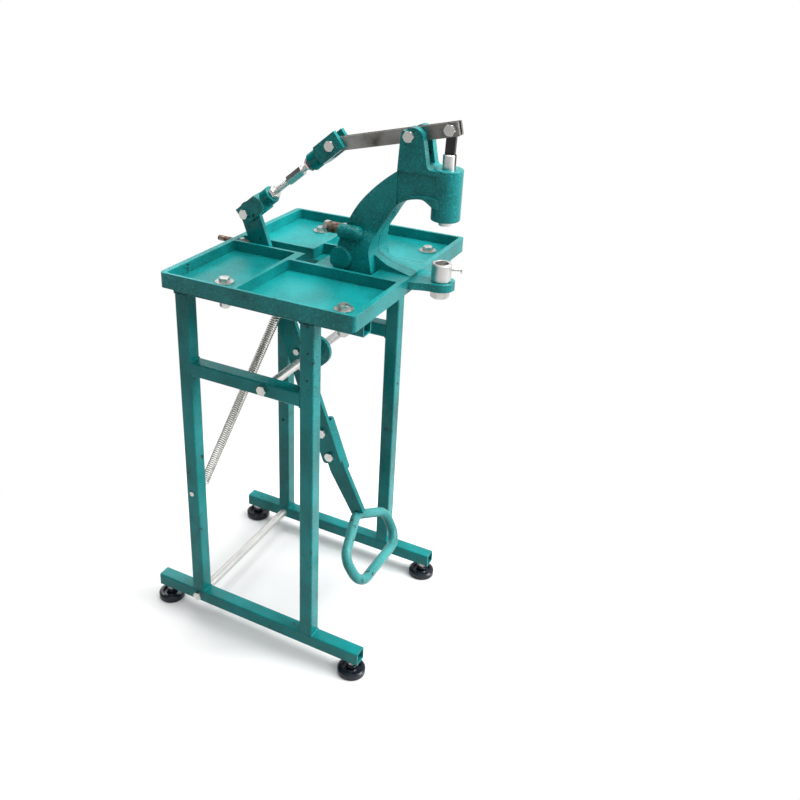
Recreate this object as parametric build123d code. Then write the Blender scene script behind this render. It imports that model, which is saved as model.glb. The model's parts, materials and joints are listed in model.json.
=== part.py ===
from build123d import *
import os
from math import cos, hypot, pi, radians, sin, sqrt

# Foot-operated button press on a square-tube stand.
# Millimetres. X across the machine, -Y towards the operator, +Z up.
# The working frame has its origin on the floor, midway along the base bars;
# the finished pieces are moved by SHIFT_Y so that the box of the whole machine
# is centred over the origin.

# Square tube stand
TUBE = 30.0
TUBE_WALL = 2.5
TUBE_CORNER = 3.0
STAND_WIDTH = 400.0
TABLE_OVERHANG = 50.0
BASE_LENGTH = 520.0
FLOOR_CLEARANCE = 35.0
REAR_LEG_Y = 149.0
FRONT_LEG_Y = -134.0
RAIL_FRONT_Y = -248.5
RAIL_REAR_Y = 166.0
TIE_RADIUS = 10.0
BOLT_REACH = 20.0

# Feet
FOOT_RADIUS = 30.0
FOOT_HEIGHT = 20.0
FOOT_DISH = 6.0
FOOT_RIM = 9.0
FOOT_NUB_RADIUS = 11.0
FOOT_INSET = 20.0
FOOT_STUD_TOP = 58.0
STUD_SOCKET = 8.0

# Table
TABLE_WIDTH = STAND_WIDTH + 2 * TABLE_OVERHANG
TABLE_FRONT_Y = -256.8
TABLE_REAR_Y = 155.6
TABLE_TOP_Z = 851.5
TABLE_HEIGHT = 30.0
TABLE_FLOOR = 8.5
TABLE_SKIN = 5.5
TABLE_SIDE_WALL = 6.0
TABLE_FRONT_WALL = 9.8
TABLE_REAR_WALL = 12.0
TRAY_WALL = 7.0
TRAY_DIVIDER = 8.0
DIVIDER_LEFT_Y = -8.6
DIVIDER_RIGHT_Y = -18.9
CHANNEL_HALF = 58.0
LANE_HALF = 16.5
SLOT_HALF = 14.0
SLOT_FRONT_Y = -60.0
SLOT_REAR_Y = 136.0
TABLE_CORNER = 8.0
TRAY_CORNER = 5.0
TABLE_BOLT_FRONT_Y = -201.5
TABLE_BOLT_REAR_Y = 54.0
TABLE_WASHER_RADIUS = 18.0
TABLE_WASHER_THICKNESS = 2.5
PAD_RADIUS = 24.0

# Fasteners: thread radius, width across flats, head height, nut height
M12_RADIUS = 6.0
M12_FLATS = 19.0
M12_HEAD = 7.5
M12_NUT = 10.0
M10_RADIUS = 5.0
M10_FLATS = 17.0
M10_HEAD = 6.5
M8_RADIUS = 4.0
M8_FLATS = 13.0
M8_HEAD = 5.5
M8_NUT = 6.5
M6_RADIUS = 3.0
THREAD_STICKOUT = 3.0
BOLT_CLEARANCE = 0.3
RUNNING_CLEARANCE = 0.05
SIDE_PLAY = 0.3
REST_GAP = 0.3

# Press frame
AXIS_Y = -307.0
FRAME_HALF = 26.6
BARREL_RADIUS = 27.0
BARREL_TOP_Z = 1056.0
BARREL_BOTTOM_Z = 962.5
EAR_GAP = 21.0
EAR_FLOOR_Z = 1060.0
EAR_TOP_RADIUS = 15.3
FOOT_HALF = 50.0
FOOT_FLANGE = 12.0
FOOT_REAR_Y = -56.0
PAD_REAR_Y = -190.0
PAD_TOP_Z = 851.3
NECK_HALF = 43.0
CHANNEL_GAP = 0.6
ARM_TOP_Z = 845.0
ARM_THICKNESS = 15.0
ARM_END_RADIUS = 27.0
ARM_ROOT_HALF = 38.0
POCKET_DEPTH = 4.0
STOP_Z = 910.0
STOP_FACE_Y = -106.5
STOP_BOSS_RADIUS = 13.0
SIDE_BOSS_RADIUS = 13.5
SIDE_BOSS_X = -37.0
SIDE_BOSS_Z = 920.0
SIDE_BOSS_FRONT_Y = -160.0
SIDE_BOSS_REAR_Y = -112.0
LUG_RADIUS = 22.0
LUG_THICKNESS = 8.0
LUG_Y = -118.0
LUG_Z = 869.0
FRAME_SCREW_X = 38.0
FRAME_SCREW_REAR_Y = -78.0
FRAME_SCREW_FRONT_Y = -222.0
FRAME_SCREW_DEPTH = 9.0
STOP_THREAD = 24.0
SHELF_DROP = 1.6
BARREL_EDGE = 2.5

# Stops
STOP_SLEEVE_RADIUS = 11.0
STOP_SLEEVE_LENGTH = 29.0
REAR_STOP_RADIUS = 5.5
REAR_STOP_Z = 842.0
REAR_STOP_END_Y = 198.0
REAR_STOP_FLATS = 17.0
REAR_STOP_NUT = 8.0
REAR_STOP_DOME = 4.4

# Die holder
HOLDER_RADIUS = 18.75
HOLDER_BORE_RADIUS = 13.0
HOLDER_HEIGHT = 34.0
HOLDER_BORE_DEPTH = 24.0
HOLDER_NECK = 1.0
HOLDER_STEM_RADIUS = 10.0
HOLDER_NUT_FLATS = 32.0
HOLDER_NUT_HEIGHT = 17.0
DIE_SCREW_Z = 869.0
DIE_SCREW_RADIUS = 2.5
DIE_SCREW_ANGLE = 14.0
DIE_SCREW_REACH = 17.0
DIE_SCREW_HEAD_RADIUS = 6.5
DIE_SCREW_HEAD = 2.6
HOLDER_EDGE = 2.5

# Ram and drop link
RAM_RADIUS = 12.0
RAM_TIP_Z = 952.4
RAM_TOP_Z = 1082.0
RAM_SLOT_DEPTH = 27.0
RAM_PIN_Z = 1071.0
RAM_PIN_RADIUS = 4.0
RAM_TOOL_RADIUS = 5.0
RAM_TOOL_DEPTH = 25.0
DROP_LINK_WIDTH = 18.0
DROP_LINK_THICKNESS = 7.6
DROP_LINK_FLOAT = 1.9

# Top lever
TOP_PIVOT_Y = -239.5
TOP_PIVOT_Z = 1109.5
TOP_TILT = 13.0
TOP_REAR_ARM = 165.5
TOP_FRONT_ARM = 71.0
TOP_BAR_WIDTH = 25.0
TOP_BAR_THICKNESS = 6.0
TOP_BAR_GAP = 8.2
TOP_BAR_FRONT_END = 15.0
TOP_BAR_REAR_END = 14.0

# Pull link between the pedal lever and the top lever
LOW_PIN_Y = 117.3
LOW_PIN_Z = 911.0
CLEVIS_WIDTH = 36.0
CLEVIS_THICKNESS = 40.0
CLEVIS_BLOCK = 64.0
CLEVIS_NECK_RADIUS = 17.8
CLEVIS_NECK_LENGTH = 22.0
CLEVIS_CORNER_RADIUS = 26.9
CLEVIS_CONE = 9.0
UPPER_END = 21.0
UPPER_SLOT_DEPTH = 22.0
LOWER_END = 14.0
LOWER_SLOT_DEPTH = 36.0
LOCK_NUT = 10.0
SLEEVE_START = 122.0
SLEEVE_LENGTH = 40.0
SLEEVE_FLATS = 18.0
ROD_ENGAGEMENT = 18.0

# Pedal lever and pivot
PIVOT_Y = -37.0
PIVOT_Z = 632.0
SHAFT_RADIUS = 9.0
BUSH_WALL = 3.5
HUB_RADIUS = 33.5
HUB_WIDTH = 10.0
HUB_LUG = 8.0
HUB_EDGE_ANGLE = 25.6
HUB_LUG_REAR = 17.0
HUB_LUG_REACH = 22.5
COLLAR_RADIUS = 15.0
COLLAR_WIDTH = 13.0
COLLAR_SCREW_RADIUS = 3.0
LEVER_WIDTH = 45.0
LEVER_THICKNESS = 10.0
LEVER_LEAN = 20.8
LEVER_LENGTH = 574.0
LEVER_TOP_RADIUS = LEVER_WIDTH / 2
LOW_PIN_FLOAT = 5.9
HUB_BOLT_S = 308.5
HUB_BOLT_SPACING = 36.5
HUB_BOLT_T = 4.8
ARM_STRAP = 12.0
STRAP_THICKNESS = 8.0
SPLICE_START = 475.0
SPLICE_END = 602.0
SPLICE_REAR_T = -19.0
SPLICE_FRONT_T = 21.0
SPLICE_BOLT_1 = 500.0
SPLICE_BOLT_2 = 557.5
SPLICE_BOLT_T = 0.0
PEDAL_END_S = 706.0
PEDAL_END_REAR_T = 0.0
PEDAL_END_FRONT_T = 30.5
PEDAL_WELD_T = 15.5
PEDAL_ROD_RADIUS = 8.0
PEDAL_HALF_WIDTH = 100.0
PEDAL_SHOULDER = 53.0
PEDAL_DEPTH = 117.0
PEDAL_SLOPE = 60.0
PEDAL_BEND = 26.0
PEDAL_CENTRE_X = 6.0
WELD_GAP = 0.15

# Return spring
SPRING_SCREW_Y = 149.5
SPRING_SCREW_Z = 328.0
SPRING_ANCHOR_S = 211.0
SPRING_ANCHOR_T = 1.0
SPRING_OUTER_RADIUS = 10.0
SPRING_WIRE_RADIUS = 1.25
SPRING_COILS = 88
SPRING_HOOK_RADIUS = 6.0
SPRING_HOOK_INSET = 1.1
SPRING_STANDOFF = 8.5
ANCHOR_HEAD_RADIUS = 5.5
ANCHOR_HEAD = 3.2

# Derived values
BAR_X = STAND_WIDTH / 2 - TUBE / 2
BAR_BOTTOM_Z = FLOOR_CLEARANCE
BAR_TOP_Z = BAR_BOTTOM_Z + TUBE
TABLE_BOTTOM_Z = TABLE_TOP_Z - TABLE_HEIGHT
RAIL_BOTTOM_Z = TABLE_BOTTOM_Z - TUBE
TRAY_FLOOR_Z = TABLE_BOTTOM_Z + TABLE_FLOOR
FRONT_REACH = HOLDER_RADIUS + DIE_SCREW_REACH + DIE_SCREW_HEAD
SCREW_SIN = sin(radians(DIE_SCREW_ANGLE))
SCREW_COS = cos(radians(DIE_SCREW_ANGLE))
SCREW_END_Y = AXIS_Y - FRONT_REACH * SCREW_COS - DIE_SCREW_HEAD_RADIUS * SCREW_SIN
SHIFT_Y = -(BASE_LENGTH / 2 + min(SCREW_END_Y, -BASE_LENGTH / 2)) / 2
LEAN_SIN = sin(radians(LEVER_LEAN))
LEAN_COS = cos(radians(LEVER_LEAN))
TOP_SIN = sin(radians(TOP_TILT))
TOP_COS = cos(radians(TOP_TILT))
UP_PIN_Y = TOP_PIVOT_Y + TOP_REAR_ARM * TOP_COS
UP_PIN_Z = TOP_PIVOT_Z - TOP_REAR_ARM * TOP_SIN
LINK_PIN_Y = TOP_PIVOT_Y - TOP_FRONT_ARM * TOP_COS
LINK_PIN_Z = TOP_PIVOT_Z + TOP_FRONT_ARM * TOP_SIN

os.makedirs("parts", exist_ok=True)


def save(name, shape):
    export_step(Pos(0, SHIFT_Y, 0) * shape, f"parts/{name}.step")


# Basic solids placed by their real extents
def block(x0, x1, y0, y1, z0, z1):
    centre = Pos((x0 + x1) / 2, (y0 + y1) / 2, (z0 + z1) / 2)
    return centre * Box(x1 - x0, y1 - y0, z1 - z0)


def rod_x(radius, x0, x1, y, z):
    return Pos((x0 + x1) / 2, y, z) * Rot(0, 90, 0) * Cylinder(radius, x1 - x0)


def rod_y(radius, x, y0, y1, z):
    return Pos(x, (y0 + y1) / 2, z) * Rot(90, 0, 0) * Cylinder(radius, y1 - y0)


def rod_z(radius, x, y, z0, z1):
    return Pos(x, y, (z0 + z1) / 2) * Cylinder(radius, z1 - z0)


def hexagon(plane, flats, height, hole=0.0):
    prism = extrude(RegularPolygon(flats / 2, 6, major_radius=False), amount=height)
    crown = Pos(0, 0, height / 2) * Cylinder(flats * 0.58, height)
    solid = prism & chamfer(crown.edges().sort_by(Axis.Z)[-1], flats * 0.06)
    if hole > 0:
        solid = solid - Pos(0, 0, height / 2) * Cylinder(hole, height)
    return plane.location * solid


def hex_x(flats, x0, x1, y, z, hole=0.0):
    sense = 1 if x1 > x0 else -1
    plane = Plane((x0, y, z), x_dir=(0, 1, 0), z_dir=(sense, 0, 0))
    return hexagon(plane, flats, abs(x1 - x0), hole)


def hex_y(flats, x, y0, y1, z, hole=0.0):
    sense = 1 if y1 > y0 else -1
    plane = Plane((x, y0, z), x_dir=(1, 0, 0), z_dir=(0, sense, 0))
    return hexagon(plane, flats, abs(y1 - y0), hole)


def hex_z(flats, x, y, z0, z1, hole=0.0):
    sense = 1 if z1 > z0 else -1
    plane = Plane((x, y, z0), x_dir=(1, 0, 0), z_dir=(0, 0, sense))
    return hexagon(plane, flats, abs(z1 - z0), hole)


def side_plate(face, x0, x1):
    return extrude(Plane((x0, 0, 0), x_dir=(0, 1, 0), z_dir=(1, 0, 0)) * face, amount=x1 - x0)


def tube(start, end):
    axis = Vector(*end) - Vector(*start)
    across = (1, 0, 0) if abs(axis.X) < 1 else (0, 1, 0)
    plane = Plane(start, x_dir=across, z_dir=axis.normalized())
    outer = RectangleRounded(TUBE, TUBE, TUBE_CORNER)
    inner = Rectangle(TUBE - 2 * TUBE_WALL, TUBE - 2 * TUBE_WALL)
    return extrude(plane * (outer - inner), amount=axis.length)


# A bolt along X with its head on the -X side: head seat x0, clamped up to x1
def bolt_x(radius, flats, head, x0, x1, y, z, stickout):
    shank = rod_x(radius, x0, x1 + stickout, y, z)
    return shank + hex_x(flats, x0, x0 - head, y, z)


# Points on the pedal lever: s along it from the low pin downwards,
# t square to it towards the front
def on_lever(s, t):
    y = LOW_PIN_Y - s * LEAN_SIN - t * LEAN_COS
    z = LOW_PIN_Z - s * LEAN_COS + t * LEAN_SIN
    return (y, z)


# Stand: base bars, legs, crossbars and top rails of square tube
def base_bar(side):
    x = side * BAR_X
    z = BAR_BOTTOM_Z + TUBE / 2
    bar = tube((x, -BASE_LENGTH / 2, z), (x, BASE_LENGTH / 2, z))
    for y in (-BASE_LENGTH / 2 + FOOT_INSET, BASE_LENGTH / 2 - FOOT_INSET):
        bar -= rod_z(M12_RADIUS + BOLT_CLEARANCE, x, y, BAR_BOTTOM_Z - 1, BAR_BOTTOM_Z + TUBE_WALL + 1)
    bar -= rod_x(M12_RADIUS + BOLT_CLEARANCE, x - TUBE, x + TUBE, REAR_LEG_Y, z)
    return bar


def leg(side, y):
    x = side * BAR_X
    post = tube((x, y, BAR_TOP_Z), (x, y, RAIL_BOTTOM_Z))
    if y > 0:
        post -= rod_x(M6_RADIUS, x - TUBE, x + TUBE, SPRING_SCREW_Y, SPRING_SCREW_Z)
    return post


def crossbar(side):
    x = side * BAR_X
    bar = tube((x, FRONT_LEG_Y + TUBE / 2, PIVOT_Z), (x, REAR_LEG_Y - TUBE / 2, PIVOT_Z))
    return bar - rod_x(M12_RADIUS + BOLT_CLEARANCE, x - TUBE, x + TUBE, PIVOT_Y, PIVOT_Z)


def top_rail(side):
    x = side * BAR_X
    z = RAIL_BOTTOM_Z + TUBE / 2
    rail = tube((x, RAIL_FRONT_Y, z), (x, RAIL_REAR_Y, z))
    for y in (TABLE_BOLT_FRONT_Y, TABLE_BOLT_REAR_Y):
        rail -= rod_z(M12_RADIUS + BOLT_CLEARANCE, x, y, z - TUBE, z + TUBE)
    return rail


for name, side in (("left", -1), ("right", 1)):
    save(f"base_bar_{name}", base_bar(side))
    save(f"leg_rear_{name}", leg(side, REAR_LEG_Y))
    save(f"leg_front_{name}", leg(side, FRONT_LEG_Y))
    save(f"crossbar_{name}", crossbar(side))
    save(f"top_rail_{name}", top_rail(side))

# Tie rod between the base bars and pivot shaft between the crossbars,
# with a bolt in each end
TIE_Z = BAR_BOTTOM_Z + TUBE / 2
INNER_X = BAR_X - TUBE / 2
OUTER_X = BAR_X + TUBE / 2


def end_tapped_rod(radius, y, z):
    rod = rod_x(radius, -INNER_X, INNER_X, y, z)
    for side in (-1, 1):
        deep = side * (INNER_X - BOLT_REACH - 2)
        rod -= rod_x(M12_RADIUS, min(deep, side * INNER_X), max(deep, side * INNER_X), y, z)
    return rod


def end_bolts(y, z):
    left = bolt_x(M12_RADIUS, M12_FLATS, M12_HEAD, -OUTER_X, -INNER_X, y, z, BOLT_REACH)
    return [left, left.mirror(Plane.YZ)]


save("tie_rod", end_tapped_rod(TIE_RADIUS, REAR_LEG_Y, TIE_Z))
save("pivot_shaft", end_tapped_rod(SHAFT_RADIUS, PIVOT_Y, PIVOT_Z))
save("rod_end_bolts", Compound(end_bolts(REAR_LEG_Y, TIE_Z) + end_bolts(PIVOT_Y, PIVOT_Z)))

# Feet: a dished pad, its stud and the lock nut under the bar
foot_spots = []
for side in (-1, 1):
    for y in (-BASE_LENGTH / 2 + FOOT_INSET, BASE_LENGTH / 2 - FOOT_INSET):
        foot_spots.append((side * BAR_X, y))


def foot_pad():
    rim_z = FOOT_HEIGHT * 0.75
    dish_z = rim_z - FOOT_DISH
    outline = Polyline(
        (0, 0), (FOOT_RADIUS - 2, 0), (FOOT_RADIUS, 2), (FOOT_RADIUS, rim_z - 3), (FOOT_RADIUS - 3, rim_z),
        (FOOT_RADIUS - FOOT_RIM, rim_z), (FOOT_RADIUS - FOOT_RIM - 2, dish_z),
        (FOOT_NUB_RADIUS + 2, dish_z), (FOOT_NUB_RADIUS, dish_z + 2), (FOOT_NUB_RADIUS, FOOT_HEIGHT - 1),
        (FOOT_NUB_RADIUS - 1, FOOT_HEIGHT), (M12_RADIUS, FOOT_HEIGHT), (M12_RADIUS, STUD_SOCKET),
        (0, STUD_SOCKET), (0, 0),
    )
    return revolve(Plane.XZ * make_face(outline), Axis.Z)


pad = foot_pad()
save("foot_pads", Compound([Pos(x, y, 0) * pad for x, y in foot_spots]))
studs = [rod_z(M12_RADIUS, x, y, STUD_SOCKET, FOOT_STUD_TOP) for x, y in foot_spots]
save("foot_studs", Compound(studs))
m12_nut = hex_z(M12_FLATS, 0, 0, 0, -M12_NUT, M12_RADIUS)
foot_nuts = [Pos(x, y, BAR_BOTTOM_Z) * m12_nut for x, y in foot_spots]

# Table: cast tray with four compartments, a channel for the press frame,
# a lane and slot for the lever, and pads for the bolts underneath
HALF_W = TABLE_WIDTH / 2
REAR_IN_Y = TABLE_REAR_Y - TABLE_REAR_WALL
FRONT_IN_Y = TABLE_FRONT_Y + TABLE_FRONT_WALL
SIDE_IN_X = HALF_W - TABLE_SIDE_WALL
table_bolt_spots = []
for side in (-1, 1):
    for y in (TABLE_BOLT_FRONT_Y, TABLE_BOLT_REAR_Y):
        table_bolt_spots.append((side * BAR_X, y))
frame_screw_spots = []
for side in (-1, 1):
    for y in (FRAME_SCREW_FRONT_Y, FRAME_SCREW_REAR_Y):
        frame_screw_spots.append((side * FRAME_SCREW_X, y))


def tray(x0, x1, y0, y1):
    pocket = block(x0, x1, y0, y1, TRAY_FLOOR_Z, TABLE_TOP_Z + 1)
    return fillet(pocket.edges().filter_by(Axis.Z), TRAY_CORNER)


def table():
    body = block(-HALF_W, HALF_W, TABLE_FRONT_Y, TABLE_REAR_Y, TABLE_BOTTOM_Z, TABLE_TOP_Z)
    body = fillet(body.edges().filter_by(Axis.Z), TABLE_CORNER)
    lane_in = LANE_HALF + TRAY_WALL
    channel_in = CHANNEL_HALF + TRAY_WALL
    half = TRAY_DIVIDER / 2
    body -= tray(-SIDE_IN_X, -lane_in, DIVIDER_LEFT_Y + half, REAR_IN_Y)
    body -= tray(-SIDE_IN_X, -channel_in, FRONT_IN_Y, DIVIDER_LEFT_Y - half)
    body -= tray(lane_in, SIDE_IN_X, DIVIDER_RIGHT_Y + half, REAR_IN_Y)
    body -= tray(channel_in, SIDE_IN_X, FRONT_IN_Y, DIVIDER_RIGHT_Y - half)
    # The channel for the press frame, its mouth in the front wall, and the lever's lane
    channel_rear = min(DIVIDER_LEFT_Y, DIVIDER_RIGHT_Y) - half
    body -= block(-CHANNEL_HALF, CHANNEL_HALF, FRONT_IN_Y, channel_rear, TRAY_FLOOR_Z, TABLE_TOP_Z + 1)
    mouth = NECK_HALF + CHANNEL_GAP
    body -= block(-mouth, mouth, TABLE_FRONT_Y - 1, FRONT_IN_Y + 1, TRAY_FLOOR_Z, TABLE_TOP_Z + 1)
    body -= block(-LANE_HALF, LANE_HALF, channel_rear - 1, REAR_IN_Y, TRAY_FLOOR_Z, TABLE_TOP_Z + 1)
    body -= block(-SLOT_HALF, SLOT_HALF, SLOT_FRONT_Y, SLOT_REAR_Y, TABLE_BOTTOM_Z - 1, TABLE_TOP_Z)
    # Underside: a shallow recess inside the rim, with pads left for the bolts
    lip = TABLE_SIDE_WALL + 6
    skin = TRAY_FLOOR_Z - TABLE_SKIN
    under = block(
        -HALF_W + lip, HALF_W - lip, TABLE_FRONT_Y + lip, TABLE_REAR_Y - lip, TABLE_BOTTOM_Z - 1, skin
    )
    for x, y in table_bolt_spots + frame_screw_spots:
        radius = PAD_RADIUS if abs(x) > FRAME_SCREW_X else PAD_RADIUS * 0.6
        under -= rod_z(radius, x, y, TABLE_BOTTOM_Z - 2, skin + 1)
    under -= block(
        -SLOT_HALF - 6, SLOT_HALF + 6, SLOT_FRONT_Y - 6, SLOT_REAR_Y + 20, TABLE_BOTTOM_Z - 2, skin + 1
    )
    body -= under
    for x, y in table_bolt_spots:
        body -= rod_z(M12_RADIUS + BOLT_CLEARANCE, x, y, TABLE_BOTTOM_Z - 1, TRAY_FLOOR_Z + 1)
    for x, y in frame_screw_spots:
        body -= rod_z(M10_RADIUS + BOLT_CLEARANCE, x, y, TABLE_BOTTOM_Z - 1, TRAY_FLOOR_Z + 1)
    # The rest stop's hole through the rear rim
    body -= rod_y(REAR_STOP_RADIUS + BOLT_CLEARANCE, 0, REAR_IN_Y - 1, TABLE_REAR_Y + 1, REAR_STOP_Z)
    return body


# One casting, kept as two solids that touch: its rim and walls, and the floor between them
casting = table()
floor_zone = block(-SIDE_IN_X, SIDE_IN_X, FRONT_IN_Y, REAR_IN_Y, TABLE_BOTTOM_Z - 1, TRAY_FLOOR_Z)
save("table", casting - floor_zone)
save("table_floor", casting & floor_zone)

TABLE_WASHER_TOP = TRAY_FLOOR_Z + TABLE_WASHER_THICKNESS
bolt = rod_z(M12_RADIUS, 0, 0, RAIL_BOTTOM_Z - M12_NUT - THREAD_STICKOUT, TABLE_WASHER_TOP)
bolt += hex_z(M12_FLATS, 0, 0, TABLE_WASHER_TOP, TABLE_WASHER_TOP + M12_HEAD)
save("table_bolts", Compound([Pos(x, y, 0) * bolt for x, y in table_bolt_spots]))
washer = rod_z(TABLE_WASHER_RADIUS, 0, 0, TRAY_FLOOR_Z, TABLE_WASHER_TOP)
washer -= rod_z(M12_RADIUS + BOLT_CLEARANCE, 0, 0, TRAY_FLOOR_Z - 1, TABLE_WASHER_TOP + 1)
save("table_washers", Compound([Pos(x, y, 0) * washer for x, y in table_bolt_spots]))
table_nuts = [Pos(x, y, RAIL_BOTTOM_Z) * m12_nut for x, y in table_bolt_spots]
save("stand_nuts", Compound(foot_nuts + table_nuts))

# Press frame: the side outline gives the back, throat, shelf and ears,
# the front outline gives the flare of the root
EAR_REAR_Y = -218.6
EAR_FRONT_Y = -275.5
EAR_CREST_Y = -243.5
EAR_BROW_Y = -221.8
NOSE_Z = 985.0
FLARE_TOP_Z = 928.0
FLARE_FOOT_Z = 872.0
FOOT_TOP_Z = TRAY_FLOOR_Z + FOOT_FLANGE
BACK_UPPER = ((-218.6, 1045.0), (-187.5, 1020.8), (-159.5, 993.3))
BACK_LOWER = ((-159.5, 993.3), (-129.0, 950.5), (-110.0, 900.0))
HEEL_POINTS = ((-104.0, 862.0), (-100.0, FOOT_TOP_Z - 2), (-184.0, FOOT_TOP_Z - 2), (-178.5, 868.0))
THROAT_POINTS = (
    (-175.0, 888.0), (-178.0, 910.0), (-187.0, 930.0), (-200.0, 951.0),
    (-218.5, 979.5), (-238.0, 993.5), (-264.0, 1000.0), (-290.0, 988.0),
)
FLARE_POINTS = ((31.0, 918.0), (37.0, 908.0), (41.5, 892.0))
PANEL_POINTS = (
    (-276.0, 1006.0), (-261.0, 1005.5), (-245.0, 1001.5), (-234.0, 996.0), (-225.0, 989.5), (-219.5, 984.5),
)
PANEL_TOP_Z = 1046.5
PANEL_NOSE_Z = 1003.5
SLOPE_POINTS = ((-175.0, 880.0), (-186.0, 874.0), (-190.0, 871.5), (-206.0, 863.5))
SLOPE_END_Y = -258.0
SLOPE_REAR_HALF = 20.0
SLOPE_FRONT_HALF = 27.5
ARM_FLANK_POINTS = ((28.5, -288.0), (34.5, -270.0))


def frame_side():
    foot = Polyline(BACK_LOWER[-1], *HEEL_POINTS, THROAT_POINTS[0])
    back_upper = ThreePointArc(*BACK_UPPER)
    back_lower = ThreePointArc(*BACK_LOWER)
    throat = Spline(*THROAT_POINTS, tangents=((0.0, 1.0), (-0.78, -0.62)))
    top_z = TOP_PIVOT_Z + EAR_TOP_RADIUS
    shelf_z = BARREL_TOP_Z - SHELF_DROP
    shelf_end = EAR_FRONT_Y - 10
    ear_foot = (EAR_FRONT_Y + 0.6, shelf_z + 10)
    ear_front = (EAR_FRONT_Y + 9.5, TOP_PIVOT_Z)
    brow = (EAR_BROW_Y, TOP_PIVOT_Z - 8)
    nose = Polyline(THROAT_POINTS[-1], (AXIS_Y, NOSE_Z), (AXIS_Y, shelf_z), (shelf_end, shelf_z))
    sweep = ThreePointArc((shelf_end, shelf_z), (EAR_FRONT_Y - 2.6, shelf_z + 3.0), ear_foot)
    front = Line(ear_foot, ear_front)
    crown = Spline(
        ear_front, (EAR_CREST_Y - 15, top_z - 3.6), (EAR_CREST_Y, top_z),
        (EAR_CREST_Y + 14, top_z - 6.5), brow,
        tangents=((0.15, 0.99), (0.1, -1.0)),
    )
    rear = Line(brow, BACK_UPPER[0])
    curves = [back_upper, back_lower, throat, sweep, front, crown, rear]
    return make_face(foot.edges() + nose.edges() + [curve.edge() for curve in curves])


def frame_front():
    top = TOP_PIVOT_Z + EAR_TOP_RADIUS + 5
    neck = (FRAME_HALF, FLARE_TOP_Z)
    ankle = (NECK_HALF, FLARE_FOOT_Z)
    foot_z = FOOT_TOP_Z - 2
    right = Spline(neck, *FLARE_POINTS, ankle, tangents=((0.0, -1.0), (0.05, -1.0)))
    left = right.mirror(Plane.YZ)
    cap = Polyline(neck, (FRAME_HALF, top), (-FRAME_HALF, top), (-FRAME_HALF, FLARE_TOP_Z))
    root = Polyline(ankle, (NECK_HALF, foot_z), (-NECK_HALF, foot_z), (-NECK_HALF, FLARE_FOOT_Z))
    return make_face(cap.edges() + root.edges() + [right.edge(), left.edge()])


# Spine that slopes from the throat's root down to the front edge of the table
def front_spine():
    start_y = SLOPE_POINTS[0][0]
    slope = make_face(Polyline(
        (start_y, FOOT_TOP_Z), *SLOPE_POINTS, (SLOPE_END_Y, PAD_TOP_Z + 0.5),
        (SLOPE_END_Y, FOOT_TOP_Z), (start_y, FOOT_TOP_Z),
    ))
    spine = side_plate(slope, -FRAME_HALF - 3, FRAME_HALF + 3)
    rear = SLOPE_REAR_HALF
    wide = SLOPE_FRONT_HALF
    plan = make_face(Polyline(
        (-rear, start_y + 1), (rear, start_y + 1), (wide, SLOPE_END_Y - 0.5),
        (-wide, SLOPE_END_Y - 0.5), (-rear, start_y + 1),
    ))
    spine &= extrude(Pos(0, 0, TRAY_FLOOR_Z) * plan, amount=80)
    return spine & block(-60, 60, TABLE_FRONT_Y, start_y + 5, TRAY_FLOOR_Z, NOSE_Z)


# Arm in front of the table that carries the die holder
def holder_arm():
    end = ARM_END_RADIUS
    wide = ARM_ROOT_HALF
    root_y = TABLE_FRONT_Y + 8
    tip = ThreePointArc((end, AXIS_Y), (0, AXIS_Y - end), (-end, AXIS_Y))
    flank = Spline(
        (end, AXIS_Y), *ARM_FLANK_POINTS, (wide, TABLE_FRONT_Y), tangents=((0.0, 1.0), (0.1, 1.0)),
    )
    root = Polyline((wide, TABLE_FRONT_Y), (wide, root_y), (-wide, root_y), (-wide, TABLE_FRONT_Y))
    outline = make_face([tip.edge(), flank.edge(), flank.mirror(Plane.YZ).edge()] + root.edges())
    return extrude(Pos(0, 0, ARM_TOP_Z - ARM_THICKNESS) * outline, amount=ARM_THICKNESS)


# Barrel for the ram, with its edges broken
def barrel_blank():
    barrel = rod_z(BARREL_RADIUS, 0, AXIS_Y, BARREL_BOTTOM_Z, BARREL_TOP_Z)
    return fillet(barrel.edges().filter_by(GeomType.CIRCLE), BARREL_EDGE)


# Slot between the ears, open to the front and rear
def ear_slot():
    half_gap = EAR_GAP / 2
    gap_front = AXIS_Y + RAM_RADIUS + 9
    return block(-half_gap, half_gap, gap_front, EAR_REAR_Y + 12, EAR_FLOOR_Z, TOP_PIVOT_Z + 40)


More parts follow.
